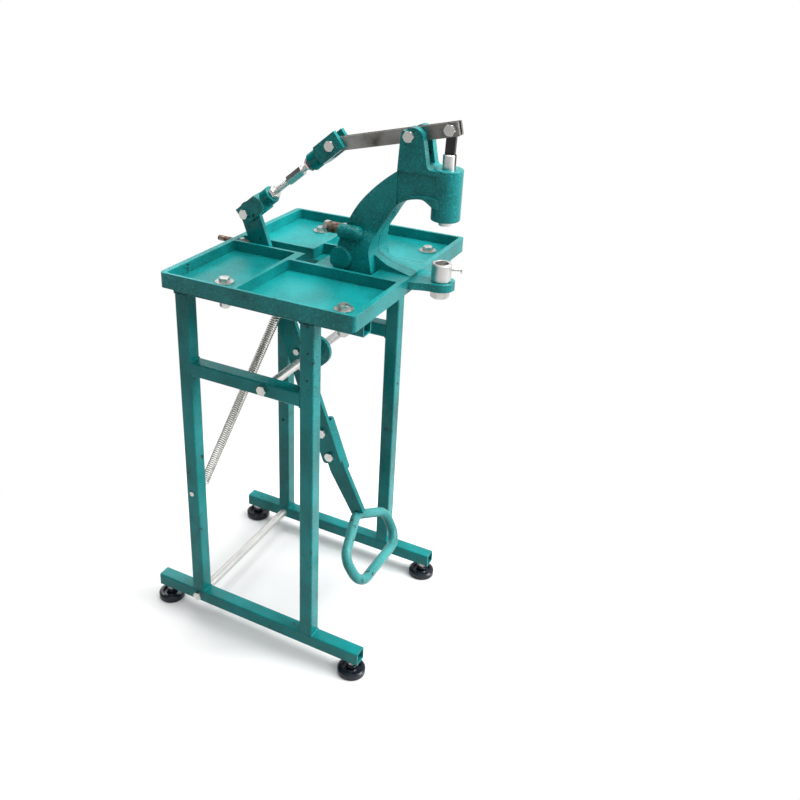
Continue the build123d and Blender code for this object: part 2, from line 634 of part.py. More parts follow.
def press_frame():
    body = side_plate(frame_side(), -NECK_HALF - 5, NECK_HALF + 5)
    body &= extrude(Plane.XZ * frame_front(), amount=400, both=True)
    # Sunk panel on both sides between the ears' step, the barrel and the arch
    panel_rear = PANEL_POINTS[-1][0]
    panel = Polyline(
        (panel_rear, PANEL_TOP_Z), (AXIS_Y, PANEL_TOP_Z), (AXIS_Y, PANEL_NOSE_Z), *PANEL_POINTS,
        (panel_rear, PANEL_TOP_Z),
    )
    sunk = make_face(panel)
    for side in (-1, 1):
        inner = side * (FRAME_HALF - POCKET_DEPTH)
        outer = side * (FRAME_HALF + 5)
        cut = side_plate(sunk, min(inner, outer), max(inner, outer))
        body -= cut
    # Foot: flange in the channel, raised pad, the neck through the table's mouth
    reach = CHANNEL_HALF - CHANNEL_GAP
    body += block(-FOOT_HALF, FOOT_HALF, PAD_REAR_Y, FOOT_REAR_Y, TRAY_FLOOR_Z, FOOT_TOP_Z)
    body += block(-reach, reach, FRONT_IN_Y + CHANNEL_GAP, PAD_REAR_Y, TRAY_FLOOR_Z, PAD_TOP_Z)
    body += block(-NECK_HALF, NECK_HALF, TABLE_FRONT_Y, FRONT_IN_Y + 2, TRAY_FLOOR_Z, PAD_TOP_Z)
    body += front_spine()
    body += holder_arm()
    # Boss and lug on the left side, boss for the lever's stop at the back
    boss_y = SIDE_BOSS_FRONT_Y + SIDE_BOSS_RADIUS
    boss = rod_y(SIDE_BOSS_RADIUS, SIDE_BOSS_X, boss_y, SIDE_BOSS_REAR_Y, SIDE_BOSS_Z)
    boss += Pos(SIDE_BOSS_X, boss_y, SIDE_BOSS_Z) * Sphere(SIDE_BOSS_RADIUS)
    body += boss
    lug = rod_x(LUG_RADIUS, -NECK_HALF - LUG_THICKNESS, -NECK_HALF + 3, LUG_Y, LUG_Z)
    lug &= block(-100, 0, LUG_Y - LUG_RADIUS, LUG_Y + LUG_RADIUS - 2, LUG_Z - LUG_RADIUS, LUG_Z + LUG_RADIUS)
    body += lug
    body += rod_y(STOP_BOSS_RADIUS, 0, STOP_FACE_Y - 18.5, STOP_FACE_Y, STOP_Z)
    body -= ear_slot()
    body -= barrel_blank()
    # Bores and tapped holes
    body -= rod_x(M12_RADIUS + BOLT_CLEARANCE, -FRAME_HALF - 1, FRAME_HALF + 1, TOP_PIVOT_Y, TOP_PIVOT_Z)
    arm_under = ARM_TOP_Z - ARM_THICKNESS
    body -= rod_z(HOLDER_STEM_RADIUS + BOLT_CLEARANCE, 0, AXIS_Y, arm_under - 1, ARM_TOP_Z + 1)
    body -= rod_y(M12_RADIUS, 0, STOP_FACE_Y - STOP_THREAD - 2, STOP_FACE_Y + 1, STOP_Z)
    for x, y in frame_screw_spots:
        body -= rod_z(M10_RADIUS, x, y, TRAY_FLOOR_Z - 1, TRAY_FLOOR_Z + FRAME_SCREW_DEPTH + 1)
    return body


# The casting is kept as two solids that touch: the frame, and the barrel in front of it
save("c_frame", press_frame())
ram_bore = rod_z(RAM_RADIUS + RUNNING_CLEARANCE, 0, AXIS_Y, BARREL_BOTTOM_Z - 1, BARREL_TOP_Z + 1)
save("ram_barrel", barrel_blank() - ear_slot() - ram_bore)

screw = rod_z(M10_RADIUS, 0, 0, TABLE_BOTTOM_Z, TRAY_FLOOR_Z + FRAME_SCREW_DEPTH)
screw += hex_z(M10_FLATS, 0, 0, TABLE_BOTTOM_Z, TABLE_BOTTOM_Z - M10_HEAD)
save("c_frame_screws", Compound([Pos(x, y, 0) * screw for x, y in frame_screw_spots]))

# Forward stop: nut against the frame, worn sleeve, bolt head
NUT_END_Y = STOP_FACE_Y + M12_NUT
SLEEVE_END_Y = NUT_END_Y + STOP_SLEEVE_LENGTH
stop_bolt = rod_y(M12_RADIUS, 0, STOP_FACE_Y - STOP_THREAD, SLEEVE_END_Y, STOP_Z)
stop_bolt += hex_y(M12_FLATS + 3, 0, SLEEVE_END_Y, SLEEVE_END_Y + M12_HEAD + 1.5, STOP_Z)
save("front_stop_bolt", stop_bolt)
save("front_stop_nut", hex_y(M12_FLATS + 3, 0, STOP_FACE_Y, NUT_END_Y, STOP_Z, M12_RADIUS))
sleeve = rod_y(STOP_SLEEVE_RADIUS, 0, NUT_END_Y, SLEEVE_END_Y, STOP_Z)
sleeve -= rod_y(M12_RADIUS + BOLT_CLEARANCE, 0, NUT_END_Y - 1, SLEEVE_END_Y + 1, STOP_Z)
save("front_stop_sleeve", sleeve)

# Rest stop: a threaded rod through the rear rim, domed where the lever leans on it
dome_drop = LOW_PIN_Z - (REAR_STOP_Z + REAR_STOP_RADIUS - REAR_STOP_DOME)
rest_gap = LEVER_WIDTH / 2 + REST_GAP + REAR_STOP_DOME
rest_y = LOW_PIN_Y - REAR_STOP_DOME + (rest_gap - dome_drop * LEAN_SIN) / LEAN_COS
rear_rod = rod_y(REAR_STOP_RADIUS, 0, rest_y, REAR_STOP_END_Y, REAR_STOP_Z)
rear_rod = fillet(rear_rod.edges().filter_by(GeomType.CIRCLE).sort_by(Axis.Y)[0], REAR_STOP_DOME)
save("rear_stop_rod", rear_rod)
nut_y = REAR_IN_Y - REAR_STOP_NUT
save("rear_stop_nut", hex_y(REAR_STOP_FLATS, 0, REAR_IN_Y, nut_y, REAR_STOP_Z, REAR_STOP_RADIUS))

# Die holder: turned cup with a stem through the arm, hex nut under it
HOLDER_BASE_Z = ARM_TOP_Z
HOLDER_TOP_Z = HOLDER_BASE_Z + HOLDER_NECK + HOLDER_HEIGHT
ARM_UNDER_Z = ARM_TOP_Z - ARM_THICKNESS
stem_end_z = ARM_UNDER_Z - HOLDER_NUT_HEIGHT - 2
cup_base_z = HOLDER_BASE_Z + HOLDER_NECK
neck_radius = HOLDER_RADIUS - 3
bore_base_z = HOLDER_TOP_Z - HOLDER_BORE_DEPTH
holder_outline = Polyline(
    (0, stem_end_z), (HOLDER_STEM_RADIUS, stem_end_z), (HOLDER_STEM_RADIUS, HOLDER_BASE_Z),
    (neck_radius, HOLDER_BASE_Z), (neck_radius, cup_base_z), (HOLDER_RADIUS - 0.8, cup_base_z),
    (HOLDER_RADIUS, cup_base_z + 0.8), (HOLDER_RADIUS, HOLDER_TOP_Z - HOLDER_EDGE),
    (HOLDER_RADIUS - 1.8, HOLDER_TOP_Z), (HOLDER_BORE_RADIUS + 0.6, HOLDER_TOP_Z),
    (HOLDER_BORE_RADIUS, HOLDER_TOP_Z - 0.6), (HOLDER_BORE_RADIUS, bore_base_z),
    (0, bore_base_z - 2), (0, stem_end_z),
)
holder = Pos(0, AXIS_Y, 0) * revolve(Plane.XZ * make_face(holder_outline), Axis.Z)
screw_plane = Plane((0, AXIS_Y, DIE_SCREW_Z), x_dir=(0, 0, 1), z_dir=(SCREW_SIN, -SCREW_COS, 0))


def along_screw(radius, start, length):
    return extrude(screw_plane.offset(start) * Circle(radius), amount=length)


holder -= along_screw(DIE_SCREW_RADIUS + RUNNING_CLEARANCE, HOLDER_BORE_RADIUS - 2, HOLDER_RADIUS)
save("die_holder", holder)
holder_nut_z = ARM_UNDER_Z - HOLDER_NUT_HEIGHT
holder_nut = hex_z(HOLDER_NUT_FLATS, 0, AXIS_Y, ARM_UNDER_Z, holder_nut_z, HOLDER_STEM_RADIUS)
save("die_holder_nut", holder_nut)
screw_run = HOLDER_RADIUS - HOLDER_BORE_RADIUS + DIE_SCREW_REACH
die_screw = along_screw(DIE_SCREW_RADIUS, HOLDER_BORE_RADIUS + 0.4, screw_run)
die_screw += along_screw(DIE_SCREW_HEAD_RADIUS, HOLDER_RADIUS + DIE_SCREW_REACH, DIE_SCREW_HEAD)
save("die_screw", die_screw)

# Ram, its pin and the black drop link
ram = rod_z(RAM_RADIUS, 0, AXIS_Y, RAM_TIP_Z, RAM_TOP_Z)
ram = chamfer(ram.edges().filter_by(GeomType.CIRCLE), 1.5)
link_half = DROP_LINK_THICKNESS / 2 + SIDE_PLAY
ram -= block(-link_half, link_half, AXIS_Y - 20, AXIS_Y + 20, RAM_TOP_Z - RAM_SLOT_DEPTH, RAM_TOP_Z + 1)
ram -= rod_x(RAM_PIN_RADIUS + BOLT_CLEARANCE / 3, -20, 20, AXIS_Y, RAM_PIN_Z)
ram -= rod_z(RAM_TOOL_RADIUS, 0, AXIS_Y, RAM_TIP_Z - 1, RAM_TIP_Z + RAM_TOOL_DEPTH)
save("ram", ram)
save("ram_pin", rod_x(RAM_PIN_RADIUS, -RAM_RADIUS + 1, RAM_RADIUS - 1, AXIS_Y, RAM_PIN_Z))


def strap(y0, z0, y1, z1, width, x0, x1):
    run = hypot(y1 - y0, z1 - z0)
    plane = Plane((x0, (y0 + y1) / 2, (z0 + z1) / 2), x_dir=(0, y1 - y0, z1 - z0), z_dir=(1, 0, 0))
    return extrude(plane * SlotCenterToCenter(run, width), amount=x1 - x0)


half = DROP_LINK_THICKNESS / 2
drop = strap(LINK_PIN_Y, LINK_PIN_Z, AXIS_Y, RAM_PIN_Z, DROP_LINK_WIDTH, -half, half)
drop -= rod_x(M12_RADIUS + RUNNING_CLEARANCE, -10, 10, LINK_PIN_Y, LINK_PIN_Z)
drop -= rod_x(RAM_PIN_RADIUS + DROP_LINK_FLOAT, -10, 10, AXIS_Y, RAM_PIN_Z)
save("drop_link", drop)

# Top lever: two flat bars, spacers between them, pivot and link bolts
BAR_IN = TOP_BAR_GAP / 2
BAR_OUT = BAR_IN + TOP_BAR_THICKNESS


def top_bar(x0, x1):
    start = -TOP_FRONT_ARM - TOP_BAR_FRONT_END
    end = TOP_REAR_ARM + TOP_BAR_REAR_END
    plane = Plane((x0, TOP_PIVOT_Y, TOP_PIVOT_Z), x_dir=(0, TOP_COS, -TOP_SIN), z_dir=(1, 0, 0))
    face = Pos((start + end) / 2, 0) * Rectangle(end - start, TOP_BAR_WIDTH)
    bar = extrude(plane * face, amount=x1 - x0)
    bar = fillet(bar.edges().filter_by(Axis.X), 1.5)
    bar -= rod_x(M12_RADIUS + RUNNING_CLEARANCE, -30, 30, TOP_PIVOT_Y, TOP_PIVOT_Z)
    bar -= rod_x(M12_RADIUS + RUNNING_CLEARANCE, -30, 30, UP_PIN_Y, UP_PIN_Z)
    bar -= rod_x(M12_RADIUS + BOLT_CLEARANCE, -30, 30, LINK_PIN_Y, LINK_PIN_Z)
    return bar


save("top_lever_bars", Compound([top_bar(-BAR_OUT, -BAR_IN), top_bar(BAR_IN, BAR_OUT)]))


def spacer(y, z):
    ring = rod_x(M12_RADIUS + 4, -BAR_IN, BAR_IN, y, z)
    return ring - rod_x(M12_RADIUS + RUNNING_CLEARANCE, -20, 20, y, z)


save("lever_spacers", Compound([spacer(TOP_PIVOT_Y, TOP_PIVOT_Z), spacer(UP_PIN_Y, UP_PIN_Z)]))


# A bolt and its nut through plates that span -half_width to half_width
def through_bolt(half_width, y, z):
    return bolt_x(M12_RADIUS, M12_FLATS, M12_HEAD, -half_width, half_width, y, z, M12_NUT + THREAD_STICKOUT)


def through_nut(half_width, y, z):
    return hex_x(M12_FLATS, half_width, half_width + M12_NUT, y, z, M12_RADIUS)


save("top_pivot_bolt", through_bolt(FRAME_HALF, TOP_PIVOT_Y, TOP_PIVOT_Z))
save("top_pivot_nut", through_nut(FRAME_HALF, TOP_PIVOT_Y, TOP_PIVOT_Z))
save("drop_link_bolt", through_bolt(BAR_OUT, LINK_PIN_Y, LINK_PIN_Z))
save("drop_link_nut", through_nut(BAR_OUT, LINK_PIN_Y, LINK_PIN_Z))

# Pull link: two forked ends, two threaded rods, hex sleeve and lock nuts.
# Distances run along it from the low pin to the upper pin.
LINK_LENGTH = hypot(UP_PIN_Y - LOW_PIN_Y, UP_PIN_Z - LOW_PIN_Z)
LINK_DY = (UP_PIN_Y - LOW_PIN_Y) / LINK_LENGTH
LINK_DZ = (UP_PIN_Z - LOW_PIN_Z) / LINK_LENGTH
link_plane = Plane((0, LOW_PIN_Y, LOW_PIN_Z), x_dir=(1, 0, 0), z_dir=(0, LINK_DY, LINK_DZ))
upper_plane = Plane((0, UP_PIN_Y, UP_PIN_Z), x_dir=(1, 0, 0), z_dir=(0, -LINK_DY, -LINK_DZ))


# A fork made from a square block, turned down to a round neck at its inner end.
# It lies along +Z with the pin at the origin.
def fork(end, slot_depth, slot_half):
    shoulder = CLEVIS_BLOCK - end
    neck_end = shoulder + CLEVIS_NECK_LENGTH
    thick = CLEVIS_THICKNESS / 2
    wide = CLEVIS_WIDTH / 2
    blank = block(-thick, thick, -wide, wide, -end, neck_end)
    outline = Polyline(
        (0, -end - 1), (CLEVIS_CORNER_RADIUS, -end - 1), (CLEVIS_CORNER_RADIUS, shoulder - CLEVIS_CONE),
        (CLEVIS_NECK_RADIUS, shoulder), (CLEVIS_NECK_RADIUS, neck_end - 1.5),
        (CLEVIS_NECK_RADIUS - 1.5, neck_end), (0, neck_end), (0, -end - 1),
    )
    body = blank & revolve(Plane.XZ * make_face(outline), Axis.Z)
    body -= block(-slot_half, slot_half, -CLEVIS_WIDTH, CLEVIS_WIDTH, -end - 1, slot_depth)
    body -= Rot(0, 90, 0) * Cylinder(M12_RADIUS + BOLT_CLEARANCE, CLEVIS_THICKNESS + 2)
    body -= Pos(0, 0, neck_end - ROD_ENGAGEMENT) * Cylinder(M12_RADIUS, 2 * ROD_ENGAGEMENT)
    return body


UPPER_SLOT_HALF = BAR_OUT + SIDE_PLAY
LOWER_SLOT_HALF = LEVER_THICKNESS / 2 + 2 * SIDE_PLAY
save("upper_clevis", upper_plane.location * fork(UPPER_END, UPPER_SLOT_DEPTH, UPPER_SLOT_HALF))
save("lower_clevis", link_plane.location * fork(LOWER_END, LOWER_SLOT_DEPTH, LOWER_SLOT_HALF))
HALF_CLEVIS = CLEVIS_THICKNESS / 2
pins = ((UP_PIN_Y, UP_PIN_Z), (LOW_PIN_Y, LOW_PIN_Z))
save("clevis_bolts", Compound([through_bolt(HALF_CLEVIS, y, z) for y, z in pins]))
save("clevis_nuts", Compound([through_nut(HALF_CLEVIS, y, z) for y, z in pins]))

LOW_NECK_END = CLEVIS_BLOCK - LOWER_END + CLEVIS_NECK_LENGTH
UP_NECK_END = LINK_LENGTH - (CLEVIS_BLOCK - UPPER_END + CLEVIS_NECK_LENGTH)


def on_link(radius, start, end):
    return extrude(link_plane.offset(start) * Circle(radius), amount=end - start)


lower_rod = on_link(M12_RADIUS, LOW_NECK_END - ROD_ENGAGEMENT, SLEEVE_START + ROD_ENGAGEMENT)
SLEEVE_END = SLEEVE_START + SLEEVE_LENGTH
upper_rod = on_link(M12_RADIUS, SLEEVE_END - ROD_ENGAGEMENT, UP_NECK_END + ROD_ENGAGEMENT)
save("link_rods", Compound([lower_rod, upper_rod]))
save("adjuster_sleeve", hexagon(link_plane.offset(SLEEVE_START), SLEEVE_FLATS, SLEEVE_LENGTH, M12_RADIUS))
lower_lock = hexagon(link_plane.offset(LOW_NECK_END), M12_FLATS, LOCK_NUT, M12_RADIUS)
upper_lock = hexagon(link_plane.offset(UP_NECK_END - LOCK_NUT), M12_FLATS, LOCK_NUT, M12_RADIUS)
save("lock_nuts", Compound([lower_lock, upper_lock]))

# Pedal lever: flat bar with a rounded top
HALF_LEVER = LEVER_THICKNESS / 2


# A plate drawn in the lever's own directions: s along it, t across it
def lever_plate(points, x0, x1):
    outline = make_face(Polyline(*[on_lever(s, t) for s, t in points + points[:1]]))
    return side_plate(outline, x0, x1)


HALF_WIDTH = LEVER_WIDTH / 2
lever_points = [(0, -HALF_WIDTH), (0, HALF_WIDTH), (LEVER_LENGTH, HALF_WIDTH), (LEVER_LENGTH, -HALF_WIDTH)]
lever = lever_plate(lever_points, -HALF_LEVER, HALF_LEVER)
lever = fillet(lever.edges().filter_by(Axis.X).group_by(Axis.Z)[0], 8.0)
lever += rod_x(LEVER_TOP_RADIUS, -HALF_LEVER, HALF_LEVER, LOW_PIN_Y, LOW_PIN_Z)
lever -= rod_x(M12_RADIUS + LOW_PIN_FLOAT, -20, 20, LOW_PIN_Y, LOW_PIN_Z)
hub_bolt_spots = (HUB_BOLT_S, HUB_BOLT_S + HUB_BOLT_SPACING)
for s in hub_bolt_spots:
    lever -= rod_x(M8_RADIUS + BOLT_CLEARANCE, -20, 20, *on_lever(s, HUB_BOLT_T))
for s in (SPLICE_BOLT_1, SPLICE_BOLT_2):
    lever -= rod_x(M12_RADIUS + BOLT_CLEARANCE, -20, 20, *on_lever(s, SPLICE_BOLT_T))
anchor_y, anchor_z = on_lever(SPRING_ANCHOR_S, SPRING_ANCHOR_T)
lever -= rod_x(M6_RADIUS, -20, 20, anchor_y, anchor_z)
save("pedal_lever", lever)

# Hub: a plate on the far side, round about the shaft, with a lug that is bolted to the lever
HUB_END = HALF_LEVER + HUB_WIDTH
BUSH_RADIUS = SHAFT_RADIUS + RUNNING_CLEARANCE + BUSH_WALL
HUB_NOSE = -HALF_LEVER - 0.5
pivot_s = (LOW_PIN_Y - PIVOT_Y) * LEAN_SIN + (LOW_PIN_Z - PIVOT_Z) * LEAN_COS
pivot_t = (LOW_PIN_Y - PIVOT_Y) * LEAN_COS - (LOW_PIN_Z - PIVOT_Z) * LEAN_SIN
edge_s = HUB_RADIUS * cos(radians(HUB_EDGE_ANGLE))
edge_t = HUB_RADIUS * sin(radians(HUB_EDGE_ANGLE))
first_s = HUB_BOLT_S - HUB_LUG_REACH
last_s = HUB_BOLT_S + HUB_BOLT_SPACING + HUB_LUG_REACH
lug_points = [
    (first_s, -HUB_LUG_REAR), (pivot_s - HUB_RADIUS, pivot_t), (pivot_s + edge_s, pivot_t + edge_t),
    (last_s + 4, -2.0), (last_s - 4, -HUB_LUG_REAR),
]
lug = lever_plate(lug_points, HALF_LEVER, HALF_LEVER + HUB_LUG)
hub = rod_x(HUB_RADIUS, HALF_LEVER, HUB_END, PIVOT_Y, PIVOT_Z)
hub = fillet(hub.edges().filter_by(GeomType.CIRCLE).sort_by(Axis.X)[-1], 2.0)
hub += lug + rod_x(BUSH_RADIUS + 0.8, HUB_NOSE, HALF_LEVER + 1, PIVOT_Y, PIVOT_Z)
hub -= rod_x(BUSH_RADIUS + RUNNING_CLEARANCE, -50, 50, PIVOT_Y, PIVOT_Z)
for s in hub_bolt_spots:
    hub -= rod_x(M8_RADIUS + BOLT_CLEARANCE, -50, 50, *on_lever(s, HUB_BOLT_T))
save("hub", hub)
bush = rod_x(BUSH_RADIUS, HUB_NOSE, HUB_END, PIVOT_Y, PIVOT_Z)
save("hub_bush", bush - rod_x(SHAFT_RADIUS + RUNNING_CLEARANCE, -50, 50, PIVOT_Y, PIVOT_Z))
lug_face = HALF_LEVER + HUB_LUG
hub_bolts = []
hub_nuts = []
for s in hub_bolt_spots:
    y, z = on_lever(s, HUB_BOLT_T)
    hub_bolts.append(bolt_x(M8_RADIUS, M8_FLATS, M8_HEAD, -HALF_LEVER, lug_face, y, z, M8_NUT + 2))
    hub_nuts.append(hex_x(M8_FLATS, lug_face, lug_face + M8_NUT, y, z, M8_RADIUS))

# Two set collars on the shaft, with their screws
def collar(x0, x1):
    ring = rod_x(COLLAR_RADIUS, x0, x1, PIVOT_Y, PIVOT_Z)
    ring = chamfer(ring.edges().filter_by(GeomType.CIRCLE), 0.8)
    ring -= rod_x(SHAFT_RADIUS + RUNNING_CLEARANCE, x0 - 1, x1 + 1, PIVOT_Y, PIVOT_Z)
    start = PIVOT_Z + SHAFT_RADIUS - 1
    return ring - rod_z(COLLAR_SCREW_RADIUS, (x0 + x1) / 2, PIVOT_Y, start, PIVOT_Z + COLLAR_RADIUS + 1)


FAR_COLLAR = HUB_END + REST_GAP
NEAR_COLLAR = HUB_NOSE - REST_GAP
collars = [collar(FAR_COLLAR, FAR_COLLAR + COLLAR_WIDTH), collar(NEAR_COLLAR - COLLAR_WIDTH, NEAR_COLLAR)]
save("shaft_collars", Compound(collars))
screw_end = PIVOT_Z + COLLAR_RADIUS + 2.5
set_screws = []
for x in (FAR_COLLAR + COLLAR_WIDTH / 2, NEAR_COLLAR - COLLAR_WIDTH / 2):
    set_screws.append(rod_z(COLLAR_SCREW_RADIUS, x, PIVOT_Y, PIVOT_Z + SHAFT_RADIUS, screw_end))
save("collar_screws", Compound(set_screws))

# Pedal arm and splice plate on the far side of the lever
ARM_X = HALF_LEVER
STRAP_X = ARM_X + ARM_STRAP
arm_points = [
    (SPLICE_START + 4, SPLICE_REAR_T), (SPLICE_START + 4, SPLICE_FRONT_T), (SPLICE_END, SPLICE_FRONT_T),
    (PEDAL_END_S, PEDAL_END_FRONT_T), (PEDAL_END_S, PEDAL_END_REAR_T), (SPLICE_END - 2, SPLICE_REAR_T),
]
arm = lever_plate(arm_points, ARM_X, ARM_X + ARM_STRAP)
plate_points = [
    (SPLICE_START, SPLICE_REAR_T), (SPLICE_START, SPLICE_FRONT_T),
    (SPLICE_END, SPLICE_FRONT_T), (SPLICE_END, SPLICE_REAR_T),
]
plate = lever_plate(plate_points, STRAP_X, STRAP_X + STRAP_THICKNESS)
plate = fillet(plate.edges().filter_by(Axis.X), 6.0)
splice_bolts = []
splice_nuts = []
SPLICE_OUT = STRAP_X + STRAP_THICKNESS
for s in (SPLICE_BOLT_1, SPLICE_BOLT_2):
    y, z = on_lever(s, SPLICE_BOLT_T)
    arm -= rod_x(M12_RADIUS + BOLT_CLEARANCE, -50, 50, y, z)
    plate -= rod_x(M12_RADIUS + BOLT_CLEARANCE, -50, 50, y, z)
    bolt = bolt_x(M12_RADIUS, M12_FLATS, M12_HEAD, -HALF_LEVER, SPLICE_OUT, y, z, M12_NUT + THREAD_STICKOUT)
    splice_bolts.append(bolt)
    splice_nuts.append(hex_x(M12_FLATS, SPLICE_OUT, SPLICE_OUT + M12_NUT, y, z, M12_RADIUS))

# Pedal: a round rod bent into a loop on a plane that slopes down to the front
weld_y, weld_z = on_lever(PEDAL_END_S + 1, PEDAL_WELD_T)
slope_cos = cos(radians(PEDAL_SLOPE))
slope_sin = sin(radians(PEDAL_SLOPE))
pedal_plane = Plane((PEDAL_CENTRE_X, weld_y, weld_z), x_dir=(1, 0, 0), z_dir=(0, -slope_sin, slope_cos))


def pedal():
    wide = PEDAL_HALF_WIDTH
    apex = PEDAL_BEND * (hypot(wide + 3, PEDAL_SHOULDER) / (wide + 3) - 1)
    corners = (
        (0, apex), (wide + 3, apex - PEDAL_SHOULDER), (wide - 6, -PEDAL_DEPTH),
        (-wide + 6, -PEDAL_DEPTH), (-wide - 3, apex - PEDAL_SHOULDER),
    )
    path = FilletPolyline(*corners, radius=PEDAL_BEND, close=True)
    path = pedal_plane * path
    start = path @ 0
    section = Plane(start, z_dir=path % 0) * Circle(PEDAL_ROD_RADIUS)
    return sweep(section, path=path)


loop = pedal()
save("pedal_loop", loop)
arm -= rod_x(PEDAL_ROD_RADIUS + WELD_GAP, 0, 50, weld_y, weld_z)
save("pedal_arm", arm)
save("splice_plate", plate)
save("lever_bolts", Compound(hub_bolts + splice_bolts))
save("lever_nuts", Compound(hub_nuts + splice_nuts))

# Screws that hold the return spring: one through the rear leg, one in the lever
LOW_HOOK_X = -INNER_X + SPRING_STANDOFF
HIGH_HOOK_X = -HALF_LEVER - SPRING_STANDOFF


# Slotted cheese head on the -X side of a plain shank
def slotted_screw(x_head, x_end, y, z):
    screw = rod_x(M6_RADIUS, x_head, x_end, y, z)
    head = rod_x(ANCHOR_HEAD_RADIUS, x_head - ANCHOR_HEAD, x_head, y, z)
    head = chamfer(head.edges().filter_by(GeomType.CIRCLE).sort_by(Axis.X)[0], 0.8)
    slot = block(x_head - ANCHOR_HEAD - 1, x_head - ANCHOR_HEAD / 2, y - 20, y + 20, z - 0.7, z + 0.7)
    return screw + head - slot


spring_screw_end = LOW_HOOK_X + SPRING_STANDOFF - 2
save("spring_screw", slotted_screw(-OUTER_X, spring_screw_end, SPRING_SCREW_Y, SPRING_SCREW_Z))
save("spring_anchor", slotted_screw(HIGH_HOOK_X - SPRING_STANDOFF + 2, HALF_LEVER - 1, anchor_y, anchor_z))

# Return spring: a close helix with a round hook at each end, as one wire.
# The hooks lie in the plane of the spring's axis, square to the screws as near as they can.
SPRING_RADIUS = SPRING_OUTER_RADIUS - SPRING_WIRE_RADIUS
low_screw = Vector(LOW_HOOK_X, SPRING_SCREW_Y, SPRING_SCREW_Z)
high_screw = Vector(HIGH_HOOK_X, anchor_y, anchor_z)
spring_along = (high_screw - low_screw).normalized()
spring_side = spring_along.cross(Vector(1, 0, 0)).normalized()
spring_out = spring_along.cross(spring_side)
low_hook = low_screw + spring_along * SPRING_HOOK_INSET
high_hook = high_screw - spring_along * SPRING_HOOK_INSET
coil_start = low_hook + spring_along * SPRING_HOOK_RADIUS
coil_length = (high_hook - coil_start).length - SPRING_HOOK_RADIUS
turn_height = coil_length / (SPRING_COILS - 0.25)


def coil_point(turns):
    angle = 2 * pi * (turns + 0.125)
    radial = spring_side * cos(angle) + spring_out * sin(angle)
    around = spring_out * cos(angle) - spring_side * sin(angle)
    point = coil_start + radial * SPRING_RADIUS + spring_along * (turns * turn_height)
    slope = turn_height / (2 * pi * SPRING_RADIUS)
    return point, (around + spring_along * slope).normalized()


# Points of a hook, going round from the side_angle where 0 lies on spring_side
def hook_point(centre, degrees, sense):
    angle = radians(degrees)
    point = centre + (spring_side * cos(angle) + spring_along * sin(angle)) * SPRING_HOOK_RADIUS
    heading = (spring_along * cos(angle) - spring_side * sin(angle)) * sense
    return point, heading


stations = [hook_point(low_hook, degrees, 1) for degrees in (-250, -180, -90, 0)]
half_turns = int((SPRING_COILS - 0.25) * 2)
stations += [coil_point(count / 2) for count in range(half_turns + 1)]
stations += [coil_point(SPRING_COILS - 0.25)]
stations += [hook_point(high_hook, degrees, 1) for degrees in (0, 90, 180, 250)]


# Two arcs that join two stations and leave and arrive along their headings
def two_arcs(first, second):
    start, leave = first
    end, arrive = second
    span = end - start
    both = leave + arrive
    bend = 2 * (1 - leave.dot(arrive))
    reach = (sqrt(span.dot(both) ** 2 + bend * span.dot(span)) - span.dot(both)) / bend
    middle = ((start + leave * reach) + (end - arrive * reach)) * 0.5
    through = ((end - arrive * reach) - (start + leave * reach)).normalized()
    return [Edge.make_tangent_arc(start, leave, middle), Edge.make_tangent_arc(middle, through, end)]


wire_edges = []
for first, second in zip(stations, stations[1:]):
    wire_edges += two_arcs(first, second)
spring_wire = Wire(wire_edges)
spring_section = Plane(stations[0][0], z_dir=stations[0][1]) * Circle(SPRING_WIRE_RADIUS)
return_spring = sweep(spring_section, path=spring_wire)
save("return_spring", return_spring)

# Least gap of the spring to itself and to its screws
samples = []
for edge in wire_edges:
    samples += [edge @ 0.0, edge @ 0.25, edge @ 0.5, edge @ 0.75]
points = [(point.X, point.Y, point.Z) for point in samples]
least = 1000.0
for i, (x0, y0, z0) in enumerate(points):
    for x1, y1, z1 in points[i + 6:]:
        if abs(z1 - z0) < 8.0:
            least = min(least, (x1 - x0) ** 2 + (y1 - y0) ** 2 + (z1 - z0) ** 2)
print("least gap of the spring to itself:", round(sqrt(least) - 2 * SPRING_WIRE_RADIUS, 3))
near = []
for y, z in ((SPRING_SCREW_Y, SPRING_SCREW_Z), (anchor_y, anchor_z)):
    near.append(min(hypot(point[1] - y, point[2] - z) for point in points))
gaps = [round(value - M6_RADIUS - SPRING_WIRE_RADIUS, 3) for value in near]
print("gaps of the spring to its screws:", gaps)
print("spring pieces:", len(wire_edges), "volume", round(return_spring.volume, 1))
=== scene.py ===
# %% [markdown]
# # A foot-operated button press, dressed around its CAD frame
# The imported CAD model gives every solid of the press at its real size, set in place in
# the world. Loading it first means that every later piece can be placed from measured
# boxes instead of by eye.

# %% Load the frame
import json
import math

